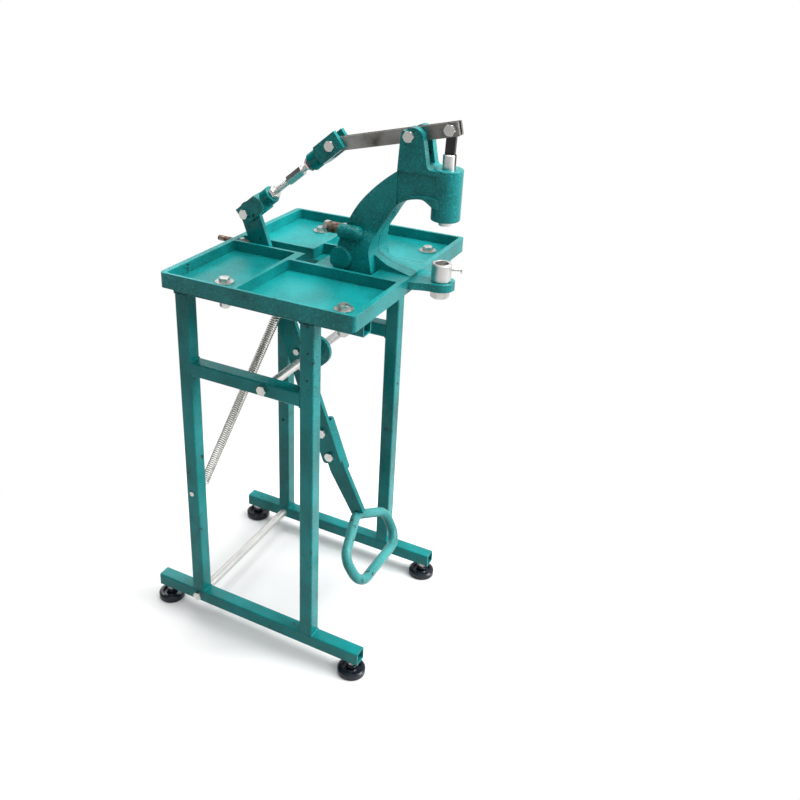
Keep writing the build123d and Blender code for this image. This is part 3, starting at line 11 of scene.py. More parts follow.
import bpy
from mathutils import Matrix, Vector


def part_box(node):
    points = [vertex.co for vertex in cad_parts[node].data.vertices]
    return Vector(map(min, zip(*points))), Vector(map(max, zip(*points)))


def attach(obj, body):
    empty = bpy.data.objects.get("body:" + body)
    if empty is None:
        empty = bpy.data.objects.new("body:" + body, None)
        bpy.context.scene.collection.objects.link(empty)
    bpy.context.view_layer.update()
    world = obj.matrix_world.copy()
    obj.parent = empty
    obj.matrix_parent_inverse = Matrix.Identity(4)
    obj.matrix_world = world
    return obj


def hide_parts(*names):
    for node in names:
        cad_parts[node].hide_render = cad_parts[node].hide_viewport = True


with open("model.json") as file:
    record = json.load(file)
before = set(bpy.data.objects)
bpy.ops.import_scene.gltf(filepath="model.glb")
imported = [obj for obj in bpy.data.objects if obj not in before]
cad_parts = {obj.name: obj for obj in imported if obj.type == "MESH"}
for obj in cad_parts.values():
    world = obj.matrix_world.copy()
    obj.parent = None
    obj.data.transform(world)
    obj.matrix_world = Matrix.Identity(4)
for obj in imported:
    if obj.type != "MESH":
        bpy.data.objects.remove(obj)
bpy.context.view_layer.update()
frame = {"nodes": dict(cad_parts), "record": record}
nodes = frame["nodes"]
MM = 0.001

# %% [markdown]
# ## Where the machine stands in its own frame
# The floor is z = 0. The ram's axis places the camera and the tube's size sets the weld
# beads, so both are read once from the boxes of the solids that carry them.

# %% Landmarks
ram_low, ram_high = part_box("ram")
RAM_Y = (ram_low[1] + ram_high[1]) / 2
bar_low, bar_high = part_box("base_bar_left")
TUBE = bar_high[0] - bar_low[0]
print("ram axis y:", round(RAM_Y, 4), "tube:", round(TUBE, 4))

# %% [markdown]
# ## The camera
# The photograph was taken from the front left, above the table. The camera's place, aim
# and lens were fitted to corners of the stand's tubes and of the table, so they are plain
# numbers. The fit had the ram's axis at its own y, hence the shift along y. The middle of
# the picture isn't on the lens's axis, which shift_x and shift_y make up for.

# %% Camera
FITTED_RAM_Y = -0.307
place_x, place_y, place_z = -1.4497, -0.8672, 1.4294
CAMERA_TURN = (64.832, -1.0603, -61.2857)
camera_data = bpy.data.cameras.new("photo_camera")
camera_data.lens = 39.603
camera_data.sensor_width = 36.0
camera_data.shift_x = 0.0791
camera_data.shift_y = -0.0670
camera = bpy.data.objects.new("photo_camera", camera_data)
camera.location = (place_x, place_y + (RAM_Y - FITTED_RAM_Y), place_z)
camera.rotation_euler = [math.radians(angle) for angle in CAMERA_TURN]
bpy.context.collection.objects.link(camera)
bpy.context.scene.camera = camera
print("camera at", [round(value, 3) for value in camera.location])

# %% [markdown]
# ## Small tools for node trees
# Every surface here is a tree of shader nodes. Adding, setting and linking them one by one
# takes many lines, so four short helpers do it: a new material, a new node, a calculation
# with two values, and a band that maps one range of values onto another.

# %% Node helpers


def new_material(name):
    material = bpy.data.materials.new(name)
    material.use_nodes = True
    tree = material.node_tree
    shader = tree.nodes["Principled BSDF"]
    return material, tree, shader


def add_node(tree, kind, **settings):
    node = tree.nodes.new(kind)
    for key, value in settings.items():
        setattr(node, key, value)
    return node


def combine(tree, operation, first, second):
    node = add_node(tree, "ShaderNodeMath", operation=operation)
    for socket, value in ((node.inputs[0], first), (node.inputs[1], second)):
        if isinstance(value, (int, float)):
            socket.default_value = value
        else:
            tree.links.new(value, socket)
    return node.outputs[0]


def band(tree, value, low, high, start=0.0, end=1.0):
    ramp = add_node(tree, "ShaderNodeMapRange")
    ramp.inputs["From Min"].default_value = low
    ramp.inputs["From Max"].default_value = high
    ramp.inputs["To Min"].default_value = start
    ramp.inputs["To Max"].default_value = end
    tree.links.new(value, ramp.inputs["Value"])
    return ramp.outputs["Result"]


print("helpers: new_material, add_node, combine, band")

# %% [markdown]
# ## Floor and backdrop
# The photograph's ground is white, with a soft shadow under the stand. A plain floor
# catches that shadow, and further out its own colour gives way to glowing white paper, so
# that no horizon shows. The change is made in the floor's material by the distance from
# the machine, and only for rays from the camera, for mirrored rays and for rays through
# glass, so it lights nothing. To the same rays the floor is pale, while the light that it
# throws back onto the legs is that of a mid-grey floor, because the legs' sides are deep
# in the photograph.

# %% Floor
FLOOR_SIDE = 14
bpy.ops.object.select_all(action="DESELECT")
bpy.ops.mesh.primitive_plane_add(size=FLOOR_SIDE, location=(0, 0, 0))
floor = bpy.context.object
floor.name = "studio_floor"
print("floor:", floor.name)

# %% White paper
BOUNCE_SHADE, SEEN_SHADE = 0.38, 0.93
FLOOR_ENDS, PAPER_BEGINS = 0.40, 0.95


def looked_at(tree):
    rays = add_node(tree, "ShaderNodeLightPath")
    seen = combine(tree, "MAXIMUM", rays.outputs["Is Camera Ray"], rays.outputs["Is Glossy Ray"])
    return combine(tree, "MAXIMUM", seen, rays.outputs["Is Transmission Ray"])


paper, tree, shader = new_material("studio_paper")
seen_shade = band(tree, looked_at(tree), 0, 1, BOUNCE_SHADE, SEEN_SHADE)
shade = add_node(tree, "ShaderNodeCombineColor")
for channel in shade.inputs:
    tree.links.new(seen_shade, channel)
tree.links.new(shade.outputs[0], shader.inputs["Base Color"])
shader.inputs["Roughness"].default_value = 0.95
shader.inputs["Specular IOR Level"].default_value = 0.1
where = add_node(tree, "ShaderNodeTexCoord")
reach = add_node(tree, "ShaderNodeVectorMath", operation="LENGTH")
tree.links.new(where.outputs["Object"], reach.inputs[0])
far_away = band(tree, reach.outputs["Value"], FLOOR_ENDS, PAPER_BEGINS)
far_away = combine(tree, "MULTIPLY", far_away, looked_at(tree))
glow = add_node(tree, "ShaderNodeEmission")
glow.inputs["Strength"].default_value = 1.0
fade = add_node(tree, "ShaderNodeMixShader")
tree.links.new(far_away, fade.inputs[0])
tree.links.new(shader.outputs[0], fade.inputs[1])
tree.links.new(glow.outputs[0], fade.inputs[2])
tree.links.new(fade.outputs[0], tree.nodes["Material Output"].inputs["Surface"])
floor.data.materials.append(paper)
print("paper:", paper.name)

# %% [markdown]
# ## Light
# The light comes from above, from the front and from the operator's right, as in the
# photograph: tray floors and tube tops are bright, the sides that face left are deep. A
# world that is brighter towards that direction gives the soft part of it, and three large
# lamps the rest. To the camera the world is plain white, and in mirrored rays it turns
# white towards the light, so that bare metal and gloss show bright streaks.

# %% World
WHITE = (1, 1, 1, 1)
LIGHT_FROM = (0.38, -0.46, 0.80)
DARK_SIDE, LIT_SIDE = 0.03, 1.15
world = bpy.data.worlds.new("studio")
bpy.context.scene.world = world
world.use_nodes = True
tree = world.node_tree
where = add_node(tree, "ShaderNodeTexCoord")
towards = add_node(tree, "ShaderNodeVectorMath", operation="DOT_PRODUCT")
towards.inputs[1].default_value = LIGHT_FROM
tree.links.new(where.outputs["Generated"], towards.inputs[0])
facing = towards.outputs["Value"]

soft_light = tree.nodes["Background"]
soft_light.inputs["Color"].default_value = WHITE
strength = band(tree, facing, -0.15, 0.95, DARK_SIDE, LIT_SIDE)
tree.links.new(strength, soft_light.inputs["Strength"])
white_paper = add_node(tree, "ShaderNodeBackground")
white_paper.inputs["Color"].default_value = WHITE
white_paper.inputs["Strength"].default_value = 1.0

rays = add_node(tree, "ShaderNodeLightPath")
seen = combine(tree, "MAXIMUM", rays.outputs["Is Camera Ray"], rays.outputs["Is Transmission Ray"])
towards_light = band(tree, facing, -0.2, 0.6)
mirrored = combine(tree, "MULTIPLY", rays.outputs["Is Glossy Ray"], towards_light)
choose = add_node(tree, "ShaderNodeMixShader")
tree.links.new(combine(tree, "MAXIMUM", seen, mirrored), choose.inputs[0])
tree.links.new(soft_light.outputs[0], choose.inputs[1])
tree.links.new(white_paper.outputs[0], choose.inputs[2])
tree.links.new(choose.outputs[0], tree.nodes["World Output"].inputs["Surface"])
bpy.context.scene.view_settings.view_transform = "Standard"
print("world:", world.name)

# %% Lamps


def soft_box(name, place, aim, size, watts):
    lamp = bpy.data.lights.new(name, "AREA")
    lamp.shape = "RECTANGLE"
    lamp.size, lamp.size_y = size
    lamp.energy = watts
    box = bpy.data.objects.new(name, lamp)
    box.location = place
    box.rotation_euler = (Vector(aim) - Vector(place)).to_track_quat("-Z", "Y").to_euler()
    bpy.context.collection.objects.link(box)


soft_box("top_box", place=(0.25, -0.25, 3.0), aim=(0, 0, 0.6), size=(1.8, 1.8), watts=72)
soft_box("key_box", place=(0.6, -2.5, 1.8), aim=(0, 0, 0.7), size=(1.2, 1.4), watts=62)
soft_box("edge_box", place=(1.2, 2.0, 2.2), aim=(0, 0, 0.8), size=(1.2, 0.8), watts=10)

# %% [markdown]
# ## Paint, as it is on the real press
# Almost everything is one teal enamel. On the castings it is a thick hammered coat with
# small pits and bumps, on tube and bar it is thinner and smoother, and on the pedal loop
# it is paler. The coat is worn through at edges and in a few chips, where dark primer and
# bare steel show. Over that lie painted highlights, as sparkle on the brightest grains and
# as a lighter rim along the edges, and painted shade in the frame's parting line. A painted
# image could hold all that, but it would need unwrapping and would blur close up. Noise in
# the object's own coordinates costs nothing, works on every solid and stays sharp. The
# coordinates are in metres, so a noise of scale 9 makes clouds a hand wide, and one of
# scale 430 makes grains of two or three millimetres.

# %% Building blocks of a finish


def place_noise(tree, scale, detail=4.0, roughness=0.55, offset=(0, 0, 0), stretch=(1, 1, 1)):
    where = add_node(tree, "ShaderNodeTexCoord")
    shift = add_node(tree, "ShaderNodeMapping")
    shift.inputs["Location"].default_value = offset
    shift.inputs["Scale"].default_value = stretch
    noise = add_node(tree, "ShaderNodeTexNoise")
    noise.inputs["Scale"].default_value = scale
    noise.inputs["Detail"].default_value = detail
    noise.inputs["Roughness"].default_value = roughness
    tree.links.new(where.outputs["Object"], shift.inputs["Vector"])
    tree.links.new(shift.outputs["Vector"], noise.inputs["Vector"])
    return noise.outputs["Fac"]


def blend_colours(tree, share, first, second):
    mix = add_node(tree, "ShaderNodeMix", data_type="RGBA")
    tree.links.new(share, mix.inputs[0])
    for socket, colour in ((mix.inputs[6], first), (mix.inputs[7], second)):
        if isinstance(colour, tuple):
            socket.default_value = (*colour, 1)
        else:
            tree.links.new(colour, socket)
    return mix.outputs[2]


# The normal of a small bevel, as if every edge were rounded by this radius
def rounded_normal(tree, radius):
    rounded = add_node(tree, "ShaderNodeBevel", samples=4)
    rounded.inputs["Radius"].default_value = radius
    return rounded.outputs["Normal"]


# Edges, for wear and for painted edge highlights: where the rounded normal leaves the flat one
def edge_wear_and_highlight(tree, radius):
    flat = add_node(tree, "ShaderNodeNewGeometry")
    compare = add_node(tree, "ShaderNodeVectorMath", operation="DOT_PRODUCT")
    tree.links.new(rounded_normal(tree, radius), compare.inputs[0])
    tree.links.new(flat.outputs["Normal"], compare.inputs[1])
    return band(tree, compare.outputs["Value"], 0.995, 0.90)


def raise_bumps(tree, shader, height, distance, strength, edge_radius):
    bump = add_node(tree, "ShaderNodeBump")
    bump.inputs["Distance"].default_value = distance
    bump.inputs["Strength"].default_value = strength
    tree.links.new(height, bump.inputs["Height"])
    tree.links.new(rounded_normal(tree, edge_radius), bump.inputs["Normal"])
    tree.links.new(bump.outputs["Normal"], shader.inputs["Normal"])


print("helpers: place_noise, blend_colours, rounded_normal, edge_wear_and_highlight, raise_bumps")

# %% [markdown]
# The enamel's colour is made in two steps: the sound coat, mottled by large clouds and
# fine grains, with painted sparkle highlights on the brightest grains, and the wear that
# lies over it, with a painted highlight along the edges. A mask of regions keeps the chips
# to a few places, because chips spread evenly all over look like a pattern.

# %% Colour and wear of the enamel
PRIMER = (0.014, 0.020, 0.020)
BARE_STEEL = (0.30, 0.29, 0.28)
# A lighter teal for painted highlights: sparkle on the brightest grains and a rim on edges
PAINTED_GLINT_TEAL = (0.08, 0.52, 0.53)


def sound_coat(tree, deep, bright, painted_sparkle):
    clouds = band(tree, place_noise(tree, 9, 3), 0.35, 0.65)
    grains = place_noise(tree, 430, 2, 0.6)
    speckle = band(tree, grains, 0.38, 0.58)
    tone = blend_colours(tree, clouds, deep, bright)
    thin = blend_colours(tree, clouds, tuple(0.45 * value for value in deep), deep)
    mottled = blend_colours(tree, speckle, thin, tone)
    # The brightest grains get a painted sparkle highlight in the lighter teal
    painted_sparkle_grains = band(tree, grains, 0.60, 0.70, 0, painted_sparkle)
    return speckle, blend_colours(tree, painted_sparkle_grains, mottled, PAINTED_GLINT_TEAL)


# The coat rubs through on edges, and chips in a few regions only; the edges also get a painted
# highlight
def worn_coat(tree, coat, edge, chips):
    edges = edge_wear_and_highlight(tree, edge)
    uneven = band(tree, place_noise(tree, 120, 5, 0.7), 0.52, 0.64)
    rubbed = combine(tree, "MULTIPLY", edges, uneven)
    spots = place_noise(tree, 62, 6, 0.62, (0.3, 0.1, 0.7))
    regions = band(tree, place_noise(tree, 6.5, 2, 0.5, (1.7, 0.4, 0.2)), 0.50, 0.60)
    chipped = combine(tree, "MULTIPLY", band(tree, spots, chips, chips + 0.015), regions)
    bare = combine(tree, "MAXIMUM", rubbed, chipped)
    deep_chips = band(tree, spots, chips + 0.07, chips + 0.10)
    metal_tone = blend_colours(tree, deep_chips, PRIMER, BARE_STEEL)
    # Painted highlight: the edges are lightened towards a lighter teal, as if lit
    painted_edge_highlight = blend_colours(tree, combine(tree, "MULTIPLY", edges, 0.45), coat, PAINTED_GLINT_TEAL)
    return bare, blend_colours(tree, bare, painted_edge_highlight, metal_tone)


print("helpers: sound_coat, worn_coat")

# %% [markdown]
# The hammered coat is a field of small pits with grain over them, and bare spots lie
# deeper. The press frame also carries the casting's parting line, a shallow groove down
# its middle that wavers in width, darkened with painted shade.

# %% Relief of the enamel


def hammered(tree, hammer, bare):
    where = add_node(tree, "ShaderNodeTexCoord")
    pits = add_node(tree, "ShaderNodeTexVoronoi", feature="SMOOTH_F1")
    pits.inputs["Scale"].default_value = hammer
    tree.links.new(where.outputs["Object"], pits.inputs["Vector"])
    grain = place_noise(tree, hammer * 1.9, 3)
    return combine(tree, "SUBTRACT", combine(tree, "ADD", pits.outputs["Distance"], grain), bare)


def parting_line(tree, width):
    where = add_node(tree, "ShaderNodeTexCoord")
    axes = add_node(tree, "ShaderNodeSeparateXYZ")
    tree.links.new(where.outputs["Object"], axes.inputs[0])
    off_middle = combine(tree, "ABSOLUTE", axes.outputs["X"], 0)
    waver = band(tree, place_noise(tree, 30, 3), 0.3, 0.7, 0.5 * width, 1.4 * width)
    return combine(tree, "LESS_THAN", off_middle, waver)


print("helpers: hammered, parting_line")

# %% Teal enamel


def enamel(name, deep, bright, hammer, chips, painted_sparkle, gloss, shine, relief,
           edge=1.2 * MM, seam=0.0):
    material, tree, shader = new_material(name)
    speckle, coat = sound_coat(tree, deep, bright, painted_sparkle)
    bare, coat = worn_coat(tree, coat, edge, chips)
    height = hammered(tree, hammer, bare)
    if seam > 0:
        groove_and_shade = parting_line(tree, seam)
        # Painted shade: the groove's coat is darkened towards the primer colour
        coat = blend_colours(tree, combine(tree, "MULTIPLY", groove_and_shade, 0.75), coat, PRIMER)
        height = combine(tree, "SUBTRACT", height, groove_and_shade)
    tree.links.new(coat, shader.inputs["Base Color"])
    smooth = band(tree, speckle, 0, 1, gloss + 0.10, gloss)
    rough = combine(tree, "ADD", smooth, combine(tree, "MULTIPLY", bare, 0.3))
    tree.links.new(rough, shader.inputs["Roughness"])
    shader.inputs["Specular IOR Level"].default_value = shine
    raise_bumps(tree, shader, height, relief, 0.8, edge)
    return material


TEAL_DEEP = (0.003, 0.215, 0.212)
TEAL_BRIGHT = (0.006, 0.325, 0.332)
PEDAL_DEEP = (0.030, 0.270, 0.265)
PEDAL_BRIGHT = (0.085, 0.410, 0.400)
# painted_sparkle sets how strong the painted sparkle highlight is on each coat
CAST_COAT = {"hammer": 330, "chips": 0.66, "painted_sparkle": 0.55, "gloss": 0.20, "shine": 0.26,
             "relief": 0.48 * MM, "edge": 1.6 * MM}
TUBE_COAT = {"hammer": 170, "chips": 0.63, "painted_sparkle": 0.20, "gloss": 0.20, "shine": 0.22,
             "relief": 0.16 * MM}
PEDAL_COAT = {"hammer": 170, "chips": 0.60, "painted_sparkle": 0.20, "gloss": 0.22, "shine": 0.30,
              "relief": 0.20 * MM}
finish = {}
finish["teal_casting"] = enamel("teal_casting", TEAL_DEEP, TEAL_BRIGHT, **CAST_COAT)
finish["teal_enamel"] = enamel("teal_enamel", TEAL_DEEP, TEAL_BRIGHT, **TUBE_COAT)
finish["grey_enamel"] = enamel("pedal_enamel", PEDAL_DEEP, PEDAL_BRIGHT, **PEDAL_COAT)
frame_coat = enamel("frame_casting", TEAL_DEEP, TEAL_BRIGHT, seam=1.4 * MM, **CAST_COAT)
print("enamels:", list(finish))

# %% [markdown]
# ## Metals
# The bolts and nuts are zinc plated, with a slightly cloudy surface. The holder, ram and
# shafts are turned steel with fine rings, and the top bars are raw flat steel with dark
# blotches. Each is a metal shader whose roughness and colour wander, since evenly
# polished metal looks like plastic.

# %% Metal finishes
SCRATCH_DEPTH = 0.05 * MM
METAL_EDGE = 0.5 * MM
EVEN_SCRATCH = (400, 400, 400)
TURNED_RINGS = (60, 60, 1800)
ROLLED_LINES = (900, 60, 900)


def metal(name, dark, light, rough, patches, scratch=EVEN_SCRATCH):
    material, tree, shader = new_material(name)
    shader.inputs["Metallic"].default_value = 1.0
    cloud = band(tree, place_noise(tree, patches, 5, 0.6), 0.3, 0.7)
    tree.links.new(blend_colours(tree, cloud, dark, light), shader.inputs["Base Color"])
    lines = place_noise(tree, 1.0, 3.0, 0.5, stretch=scratch)
    dull = band(tree, combine(tree, "ADD", cloud, lines), 0.4, 1.6, *rough)
    tree.links.new(dull, shader.inputs["Roughness"])
    raise_bumps(tree, shader, lines, SCRATCH_DEPTH, 0.4, METAL_EDGE)
    return material


ZINC = {"dark": (0.50, 0.495, 0.47), "light": (0.72, 0.715, 0.68), "rough": (0.24, 0.40),
        "patches": 60}
finish["zinc"] = metal("zinc_plate", **ZINC)
finish["bright_steel"] = metal("turned_steel", (0.60, 0.59, 0.575), (0.74, 0.73, 0.715),
                               (0.34, 0.48), 18, TURNED_RINGS)
finish["worn_steel"] = metal("raw_bar_steel", (0.095, 0.088, 0.078), (0.42, 0.41, 0.39),
                             (0.32, 0.52), 17, ROLLED_LINES)
spring_wire = metal("spring_wire", (0.38, 0.365, 0.33), (0.62, 0.60, 0.55), (0.36, 0.52), 50)
finish["bronze"] = metal("bush_bronze", (0.33, 0.20, 0.08), (0.62, 0.42, 0.20), (0.25, 0.4), 60)
print("finishes so far:", list(finish))

# %% [markdown]
# The sleeve of the front stop and the rod of the rear one are rusty. Rust is a patchwork:
# brown, dull and hardly metallic where it has grown, grey steel between. The black link
# and the feet are dark coats that differ in colour and gloss, a little greyer on their
# edges, where they are rubbed.

# %% Rust, black steel and plastic
DARK_BROWN, LIGHT_BROWN = (0.055, 0.024, 0.012), (0.19, 0.085, 0.038)
DULL_STEEL = (0.30, 0.26, 0.22)
RUBBED_GREY = (0.16, 0.16, 0.16)


def rust(name):
    material, tree, shader = new_material(name)
    patches = band(tree, place_noise(tree, 90, 6, 0.65), 0.42, 0.60)
    mottle = band(tree, place_noise(tree, 260, 4), 0.3, 0.7)
    brown = blend_colours(tree, mottle, DARK_BROWN, LIGHT_BROWN)
    tree.links.new(blend_colours(tree, patches, DULL_STEEL, brown), shader.inputs["Base Color"])
    tree.links.new(band(tree, patches, 0, 1, 0.9, 0.15), shader.inputs["Metallic"])
    tree.links.new(band(tree, patches, 0, 1, 0.35, 0.85), shader.inputs["Roughness"])
    raise_bumps(tree, shader, place_noise(tree, 600, 4), 0.3 * MM, 0.6, METAL_EDGE)
    return material


def dark_coat(name, colour, rough, specular, bumps, depth):
    material, tree, shader = new_material(name)
    wander = band(tree, place_noise(tree, 60, 4), 0.3, 0.7)
    lighter = tuple(1.6 * value + 0.004 for value in colour)
    edges = edge_wear_and_highlight(tree, 0.8 * MM)
    tone = blend_colours(tree, wander, colour, lighter)
    rubbed = blend_colours(tree, combine(tree, "MULTIPLY", edges, 0.18), tone, RUBBED_GREY)
    tree.links.new(rubbed, shader.inputs["Base Color"])
    tree.links.new(band(tree, wander, 0, 1, rough, rough + 0.14), shader.inputs["Roughness"])
    shader.inputs["Specular IOR Level"].default_value = specular
    raise_bumps(tree, shader, place_noise(tree, bumps, 3), depth, 0.5, 0.6 * MM)
    return material


finish["rusty_steel"] = rust("rusty_stop")
finish["black_steel"] = dark_coat("black_link", (0.010, 0.010, 0.011), rough=0.30,
                                  specular=0.5, bumps=300, depth=0.1 * MM)
finish["black_plastic"] = dark_coat("foot_plastic", (0.003, 0.007, 0.014), rough=0.16,
                                    specular=0.35, bumps=60, depth=0.05 * MM)
print("finishes:", sorted(finish))

# %% [markdown]
# ## Dress the CAD solids
# The record names a material slot for every solid. Giving each node the finish of its
# slot keeps the look and the record in step. Two nodes have a finish of their own: the
# press frame with its parting line, and the spring, whose wire is brighter than the raw
# bars that share its slot.

# %% Assign the finishes
slot_of = {part["node"]: part["material_slot"] for part in frame["record"]["subparts"]}
own_finish = {"c_frame": frame_coat, "return_spring": spring_wire}
for name, node in nodes.items():
    node.data.materials.clear()
    node.data.materials.append(own_finish.get(name, finish[slot_of[name]]))
print("dressed:", len(slot_of))

# %% [markdown]
# ## Making a piece by hand
# Each new piece starts from nothing selected, is shaped in edit mode, and ends with its
# place in its mesh, its faces pointing outwards, a finish, and the body that it moves
# with. A few small helpers keep these steps the same for every piece.

# %% Start and end of a piece


def nothing_selected():
    if bpy.context.object and bpy.context.object.mode != "OBJECT":
        bpy.ops.object.mode_set(mode="OBJECT")
    bpy.ops.object.select_all(action="DESELECT")


def only(piece):
    nothing_selected()
    piece.select_set(True)
    bpy.context.view_layer.objects.active = piece


def apply_all(piece):
    only(piece)
    for modifier in list(piece.modifiers):
        bpy.ops.object.modifier_apply(modifier=modifier.name)


def joined(parts):
    nothing_selected()
    for part in parts:
        part.select_set(True)
    bpy.context.view_layer.objects.active = parts[0]
    bpy.ops.object.join()
    return parts[0]


def finished(piece, name, body, look, smooth):
    only(piece)
    bpy.ops.object.transform_apply(location=True, rotation=True, scale=True)
    bpy.ops.object.mode_set(mode="EDIT")
    bpy.ops.mesh.select_all(action="SELECT")
    bpy.ops.mesh.normals_make_consistent(inside=False)
    bpy.ops.object.mode_set(mode="OBJECT")
    bpy.ops.object.shade_smooth_by_angle(angle=math.radians(smooth))
    piece.name = name
    piece.data.name = name
    piece.data.materials.clear()
    piece.data.materials.append(look)
    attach(piece, body)
    print(name, "faces:", len(piece.data.polygons))


print("helpers: nothing_selected, only, apply_all, joined, finished")

# %% Corners picked and moved
NEAR = 0.05 * MM


# Select only the corners at a spot, in edit mode, as a click in the window would
def pick_corners(piece, spot):
    only(piece)
    bpy.ops.object.mode_set(mode="EDIT")
    bpy.ops.mesh.select_all(action="DESELECT")
    bpy.ops.object.mode_set(mode="OBJECT")
    for corner in piece.data.vertices:
        corner.select = (corner.co - spot).length < NEAR
    bpy.ops.object.mode_set(mode="EDIT")


# Move the corners of a plain ring, one after the other, to the spots given
def place_corners(ring, spots):
    begun = [corner.co.copy() for corner in ring.data.vertices]
    for start, spot in zip(begun, spots):
        pick_corners(ring, start)
        bpy.ops.transform.translate(value=Vector(spot) - start)
        bpy.ops.object.mode_set(mode="OBJECT")


print("helpers: pick_corners, place_corners")

# %% [markdown]
# ## The pedal loop
# The real pedal is a round rod bent five times and welded into a ring under the lever's
# arm. It could be swept along a drawn curve, but a smith bends a straight rod at five
# corners, and the same can be done here: a ring of five corners is drawn, each corner is
# rounded by a vertex bevel, and the line is given the rod's thickness. The corners and
# their cuts are in millimetres, a corner's across the ring and up its tilted plane.

# %% Pedal loop
PEDAL_ROD = 11.0 * MM
PEDAL_TILT = math.radians(60.0)
PEDAL_CORNERS = ((0, 4.2), (99, -45.8), (94, -119), (-94, -119), (-99, -45.8))
CORNER_CUTS = ((0, 13), (1, 22), (2, 34), (3, 34), (4, 22))
ROUNDING = 9
pedal_low, pedal_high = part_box("pedal_loop")
loop_middle = (pedal_low[0] + pedal_high[0]) / 2 - 0.5 * MM
rod_top = Vector((loop_middle, pedal_high[1] - 6.2 * MM, pedal_high[2] - 15.6 * MM))
corner_spots = []
for across, up in PEDAL_CORNERS:
    back, rise = up * MM * math.cos(PEDAL_TILT), up * MM * math.sin(PEDAL_TILT)
    corner_spots.append(rod_top + Vector((across * MM, back, rise)))

nothing_selected()
bpy.ops.mesh.primitive_circle_add(vertices=len(PEDAL_CORNERS), radius=0.1,
                                  fill_type="NOTHING", location=(0, 0, 0))
loop = bpy.context.object
place_corners(loop, corner_spots)
for number, cut in CORNER_CUTS:
    pick_corners(loop, corner_spots[number])
    bpy.ops.mesh.bevel(affect="VERTICES", offset=cut * MM, segments=ROUNDING, profile=0.5)
    bpy.ops.object.mode_set(mode="OBJECT")
only(loop)
bpy.ops.object.convert(target="CURVE")
loop.data.bevel_depth = PEDAL_ROD
loop.data.bevel_resolution = ROUNDING
bpy.ops.object.convert(target="MESH")
loop = bpy.context.object
finished(loop, "bent_pedal", "pedal_lever", finish["grey_enamel"], 60)
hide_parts("pedal_loop")

# %% [markdown]
# ## Weld beads
# Each joint of the tube stand is closed by a short bead, a row of overlapping drops that
# cooled one after the other. One bead is made of such drops, which a fine remesh then
# melts into one skin. The same bead is copied into every corner, each with its own mesh.

# %% One bead
BEAD_DROP = 2.3 * MM
BEAD_LENGTH = TUBE - 3.0 * MM
BEAD_DROPS = 10
nothing_selected()
bpy.ops.mesh.primitive_ico_sphere_add(subdivisions=2, radius=BEAD_DROP,
                                      location=(-BEAD_LENGTH / 2, 0, 0))
bead = bpy.context.object
bpy.ops.object.mode_set(mode="EDIT")
for number in range(1, BEAD_DROPS):
    along = -BEAD_LENGTH / 2 + BEAD_LENGTH * number / (BEAD_DROPS - 1)
    size = BEAD_DROP * (1.0 + 0.10 * math.sin(2.1 * number))
    place = (along, 0.25 * MM * math.sin(1.7 * number), 0.2 * MM * math.cos(2.3 * number))
    bpy.ops.mesh.primitive_ico_sphere_add(subdivisions=2, radius=size, location=place)
bpy.ops.object.mode_set(mode="OBJECT")
melt = bead.modifiers.new("melt", "REMESH")
melt.mode = "VOXEL"
melt.voxel_size = 0.75 * MM
apply_all(bead)
print("bead faces:", len(bead.data.polygons))

# %% The bead in every corner
WELDED = ("leg_rear_left", "leg_front_left", "leg_rear_right", "leg_front_right",
          "crossbar_left", "crossbar_right")
beads = []
for tube in WELDED:
    tube_low, tube_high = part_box(tube)
    middle = (tube_low[0] + tube_high[0]) / 2
    for side in (tube_low[1], tube_high[1]):
        for level in (tube_low[2], tube_high[2]):
            only(bead)
            bpy.ops.object.duplicate(linked=False)
            bpy.ops.transform.translate(value=(middle, side, level))
            beads.append(bpy.context.object)
bpy.data.objects.remove(bead)
finished(joined(beads), "stand_welds", "stand", finish["teal_enamel"], 60)

# %% [markdown]
# ## Screw threads
# The rods of the pull link, the levelling feet and the rear stop are threaded where they
# show. A thread is one tooth carried round and along the rod, which is what the Screw
# modifier does with a small triangle: one turn for each pitch. The tooth's foot, nearly
# a pitch wide, sinks into the plain rod of the CAD, so only the ridge shows.

# %% Thread maker
TOOTH_FOOT = 0.35 * MM
TOOTH_HEIGHT = 0.30 * MM
TOOTH_HALF = 0.46
TURN_STEPS = 20
TINY = 0.00001


def thread_along(start, end, radius, pitch):
    start, end = Vector(start), Vector(end)
    length = (end - start).length
    turns = max(2, int(length / pitch) - 1)
    nothing_selected()
    bpy.ops.mesh.primitive_circle_add(vertices=3, radius=pitch * 0.5, fill_type="NOTHING",
                                      location=(0, 0, 0))
    tooth = bpy.context.object
    foot, tip, half = radius - TOOTH_FOOT, radius + TOOTH_HEIGHT, TOOTH_HALF * pitch
    place_corners(tooth, [(foot, 0, -half), (tip, 0, 0), (foot, 0, half)])
    wind = tooth.modifiers.new("wind", "SCREW")
    wind.axis = "Z"
    wind.screw_offset = pitch
    wind.iterations = turns
    wind.steps = TURN_STEPS
    wind.render_steps = TURN_STEPS
    wind.use_smooth_shade = False
    apply_all(tooth)
    bpy.ops.object.mode_set(mode="EDIT")
    bpy.ops.mesh.select_all(action="SELECT")
    bpy.ops.mesh.remove_doubles(threshold=TINY)
    bpy.ops.mesh.select_all(action="SELECT")
    bpy.ops.mesh.fill_holes(sides=4)
    bpy.ops.object.mode_set(mode="OBJECT")
    slack = (length - turns * pitch) / 2
    tooth.rotation_euler = (end - start).to_track_quat("Z", "Y").to_euler()
    tooth.location = start + (end - start).normalized() * slack
    only(tooth)
    bpy.ops.object.transform_apply(location=True, rotation=True, scale=True)
    return tooth


print("helper: thread_along")

